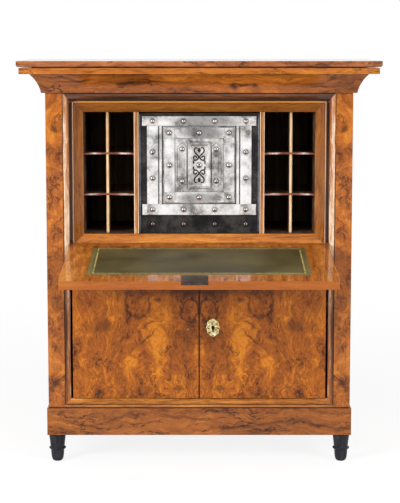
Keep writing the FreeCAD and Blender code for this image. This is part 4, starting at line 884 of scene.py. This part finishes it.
# %% Scrolls of the keyhole cover
cover_face = 0.0662
line_points = 90
scroll = smooth_line([(3, 57), (12, 60), (17, 52), (14, 43), (6, 35), (2, 29), (5, 21), (12, 17),
                      (18, 20), (19, 27), (14, 31), (9, 28), (11, 24)], line_points)
tail = smooth_line([(12, 17), (17, 16), (20, 11), (19, 4)], line_points)
quarters = np.array([(1, 1), (-1, 1), (1, -1), (-1, -1)])[:, None, None, :]
scrolls = (np.stack([scroll, tail])[None] * mm * quarters).reshape(-1, line_points, 2)
scrolls = flat_tubes(scrolls, 0.0025, 0.0008, cover_face, door_middle)
add_piece("cover_scrolls", scrolls, black, "keyhole_cover")

# %% Lozenges and boss
lozenges = [(0, cover_face, door_middle + z) for z in (-0.051, 0.051)]
lozenges = thin_plates(lozenges, 0.0058, 0.0085, 0.0009, power=1.2)
add_piece("cover_lozenges", lozenges, black, "keyhole_cover")
boss_profile = np.array([(0, 0.4), (10.5, 0.4), (10.5, -0.8), (9.6, -1.4), (8.4, -1.2),
                         (7.4, -1.8), (5.0, -3.2), (2.6, -3.8), (0, -4.0)]) * mm
boss = lathe(boss_profile, [(0, cover_face, door_middle)], axis="y", steps=40)
add_piece("cover_boss", boss, bright, "keyhole_cover")

# %% [markdown]
# ## Writing leather
# A thin green skiver is glued into the flap, with a gilt line tooled 19 mm inside its edge and a
# brighter margin outside the line. It lies in its recess and swells very slightly towards the
# middle. Glued leather doesn't drape, so no cloth has to be simulated: the surface is a grid in
# the flap's own tilted plane. Its UV map is in metres from the middle, so that the line follows
# the leather.


# %% Leather surface
def on_flap(x, y, z):
    """A point of the open flap in the room: the flap's plane is turned about its pivot by the
    droop, so from the pivot its depth is y cos - z sin and its height is y sin + z cos."""
    depth = pivot_y + y * math.cos(droop) - z * math.sin(droop)
    height = pivot_z + y * math.sin(droop) + z * math.cos(droop)
    return np.stack([x, depth, height], -1)


half_width, half_length, centre_y = 0.358, 0.1835, -0.2405
bed, crown = 0.0136, 0.0006
u, v = np.meshgrid(np.linspace(-1, 1, 61), np.linspace(-1, 1, 33), indexing="ij")
swell = bed + crown * (1 - u**2) ** 0.4 * (1 - v**2) ** 0.4
leather = piece("writing_leather", on_flap(u * half_width, centre_y + v * half_length, swell))
flat_map = leather.data.uv_layers.new(name="cut")
corner = np.empty(len(leather.data.loops), int)
leather.data.loops.foreach_get("vertex_index", corner)
spot = np.empty(len(leather.data.vertices) * 3)
leather.data.vertices.foreach_get("co", spot)
spot = spot.reshape(-1, 3)[corner]
along_flap = (spot[:, 1] - pivot_y) / math.cos(droop) - centre_y
flat_map.data.foreach_set("uv", np.stack([spot[:, 0], along_flap], -1).ravel())
print("leather covers", round(sum(p.area for p in leather.data.polygons), 4), "m2")

# %% Field, margin and gilt line
line_inset = 0.019
field_tones = ((0.35, "#453E22"), (0.5, "#574E2C"), (0.66, "#695E37"))
margin_tones = ((0.35, "#5C5A30"), (0.65, "#7C7742"))
skiver, tree, shader = new_material("green_tooled_leather")
spot = add(tree, "SeparateXYZ", {0: add(tree, "UVMap", uv_map="cut")}).outputs
side = add(tree, "Math", {0: spot["X"]}, operation="ABSOLUTE")
side = add(tree, "Math", {0: half_width, 1: side}, operation="SUBTRACT")
end = add(tree, "Math", {0: spot["Y"]}, operation="ABSOLUTE")
end = add(tree, "Math", {0: half_length, 1: end}, operation="SUBTRACT")
inset = add(tree, "Math", {0: side, 1: end}, operation="MINIMUM")
points = add(tree, "TexCoord").outputs["Object"]
cloud = add(tree, "TexNoise", {"Vector": points, "Scale": 7.0, "Detail": 4.0})
field = add(tree, "ValToRGB", {0: cloud}, stops=field_tones)
margin = add(tree, "ValToRGB", {0: cloud}, stops=margin_tones)
outside = add(tree, "MapRange", {"Value": inset, 1: 0.022, 2: 0.016, 3: 0.0, 4: 1.0})
hide = add(tree, "Mix", {0: outside, 6: field, 7: margin}, data_type="RGBA")

# The gold is rubbed off in places of about 17 mm
line = distance(tree, inset, line_inset)
line = add(tree, "MapRange", {"Value": line, 1: 0.0016, 2: 0.0024, 3: 1.0, 4: 0.0})
rubbed = blotches(tree, points, 60.0, 0.38, 0.50, least=0.15, detail=2.0)
line = add(tree, "Math", {0: line, 1: rubbed}, operation="MULTIPLY")
hide = add(tree, "Mix", {0: line, 6: hide, 7: linear("#D8BE78")}, data_type="RGBA")
print("gilt line", line_inset, "m inside the edge")

# %% Leather finish
# Pebbles of 1.4 mm, coarser than in real skiver, where they would be too fine to show
pebble = add(tree, "TexVoronoi", {"Vector": points, "Scale": 700.0}).outputs["Distance"]
bump = add(tree, "Bump", {"Height": pebble, "Distance": 0.0003, "Strength": 0.4})
worn = add(tree, "MapRange", {"Value": cloud, 1: 0.3, 2: 0.7, 3: 0.42, 4: 0.60})
plug(shader, {"Base Color": hide, "Roughness": worn, "Normal": bump})
leather.data.materials.append(skiver)
thick = leather.modifiers.new("thickness", "SOLIDIFY")
thick.thickness = 0.0012
thick.offset = -1.0
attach(leather, "flap")
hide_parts("flap_leather")
dress(skiver, "flap_leather")

# %% [markdown]
# ## Keyhole plate
# The right door has a cast and gilt keyhole plate with a scalloped edge and scrolled relief. A
# block could be cut to this outline, but would stay flat. One surface in polar form gives outline
# and relief together: the inner edge follows the keyhole, a circle with a slot below it, the outer
# edge is an oval with lobes, and the height between them is a rim, a hollow and a row of small
# scrolls.

# %% Scalloped plate
key_x, key_z, door_face = 0.0473, 0.4745, 0.006
half_wide, half_tall = 0.0235, 0.0325
hole_radius, slot_half, slot_depth = 0.0040, 0.0025, 0.0130
plate_inset, lining_width = 0.0018, 0.0024
angle = full_turn(192)
down = np.maximum(-np.sin(angle), 1e-9)
across = np.maximum(np.abs(np.cos(angle)), 1e-9)
slot = np.where(np.sin(angle) < 0, np.minimum(slot_half / across, slot_depth / down), 0)
hole = np.maximum(hole_radius, slot)
lined = hole + plate_inset
oval = 1 / np.sqrt((np.cos(angle) / half_wide) ** 2 + (np.sin(angle) / half_tall) ** 2)
edge = oval * (1 + 0.035 * np.cos(8 * angle) + 0.020 * np.cos(16 * angle + 0.6))
# The share of the way from the lining to the outer edge
s = np.array([0, 0, 0.05, 0.12, 0.2, 0.3, 0.4, 0.5, 0.6, 0.7, 0.78, 0.85, 0.91, 0.96, 1.0, 1.0])
s = s[:, None]
reach = lined + (edge - lined) * s
inner_rim, outer_rim = np.exp(-((s - 0.06) / 0.06) ** 2), np.exp(-((s - 0.88) / 0.09) ** 2)
swirl = np.cos(8 * angle + 5 * s) * np.clip(np.sin(math.pi * (s - 0.25) / 0.75), 0, 1)
relief = 0.0016 + 0.0012 * inner_rim + 0.0016 * outer_rim + 0.0011 * swirl
relief[0] = relief[-1] = -0.0004
relief[-2] = 0.0009


def on_door(reach, rise):
    """Points round the keyhole: reach times (cos, sin) in the door's plane, rise towards -Y."""
    return np.stack([key_x + reach * np.cos(angle), door_face - rise + 0 * angle,
                     key_z + reach * np.sin(angle)], -1)


keyplate = add_piece("gilt_keyhole_plate", on_door(reach, relief), gilt, "right_door")
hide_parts("door_escutcheon")
dress(gilt, "door_escutcheon")

# %% Iron lining of the keyhole
lining_reach = hole + lining_width * np.array([0, 0, 0.5, 1.0, 1.0])[:, None]
lining_rise = np.array([-0.0004, 0.0006, 0.0012, 0.0008, -0.0004])[:, None]
add_piece("keyhole_lining", on_door(lining_reach, lining_rise), black, "right_door")

# %% Pin of the left door
pin = domes([(-0.0390, door_face, 0.4690)], 0.0028, 0.0018)
add_piece("left_door_pin", pin, gilt, "left_door")

# %% [markdown]
# ## What is left
# Every node now has a finish, which the last cell counts.

# %% Nodes without a finish
plain = [name for name, thing in nodes.items()
         if not any(m and m.use_nodes for m in thing.data.materials)]
print("nodes without a finish:", plain)
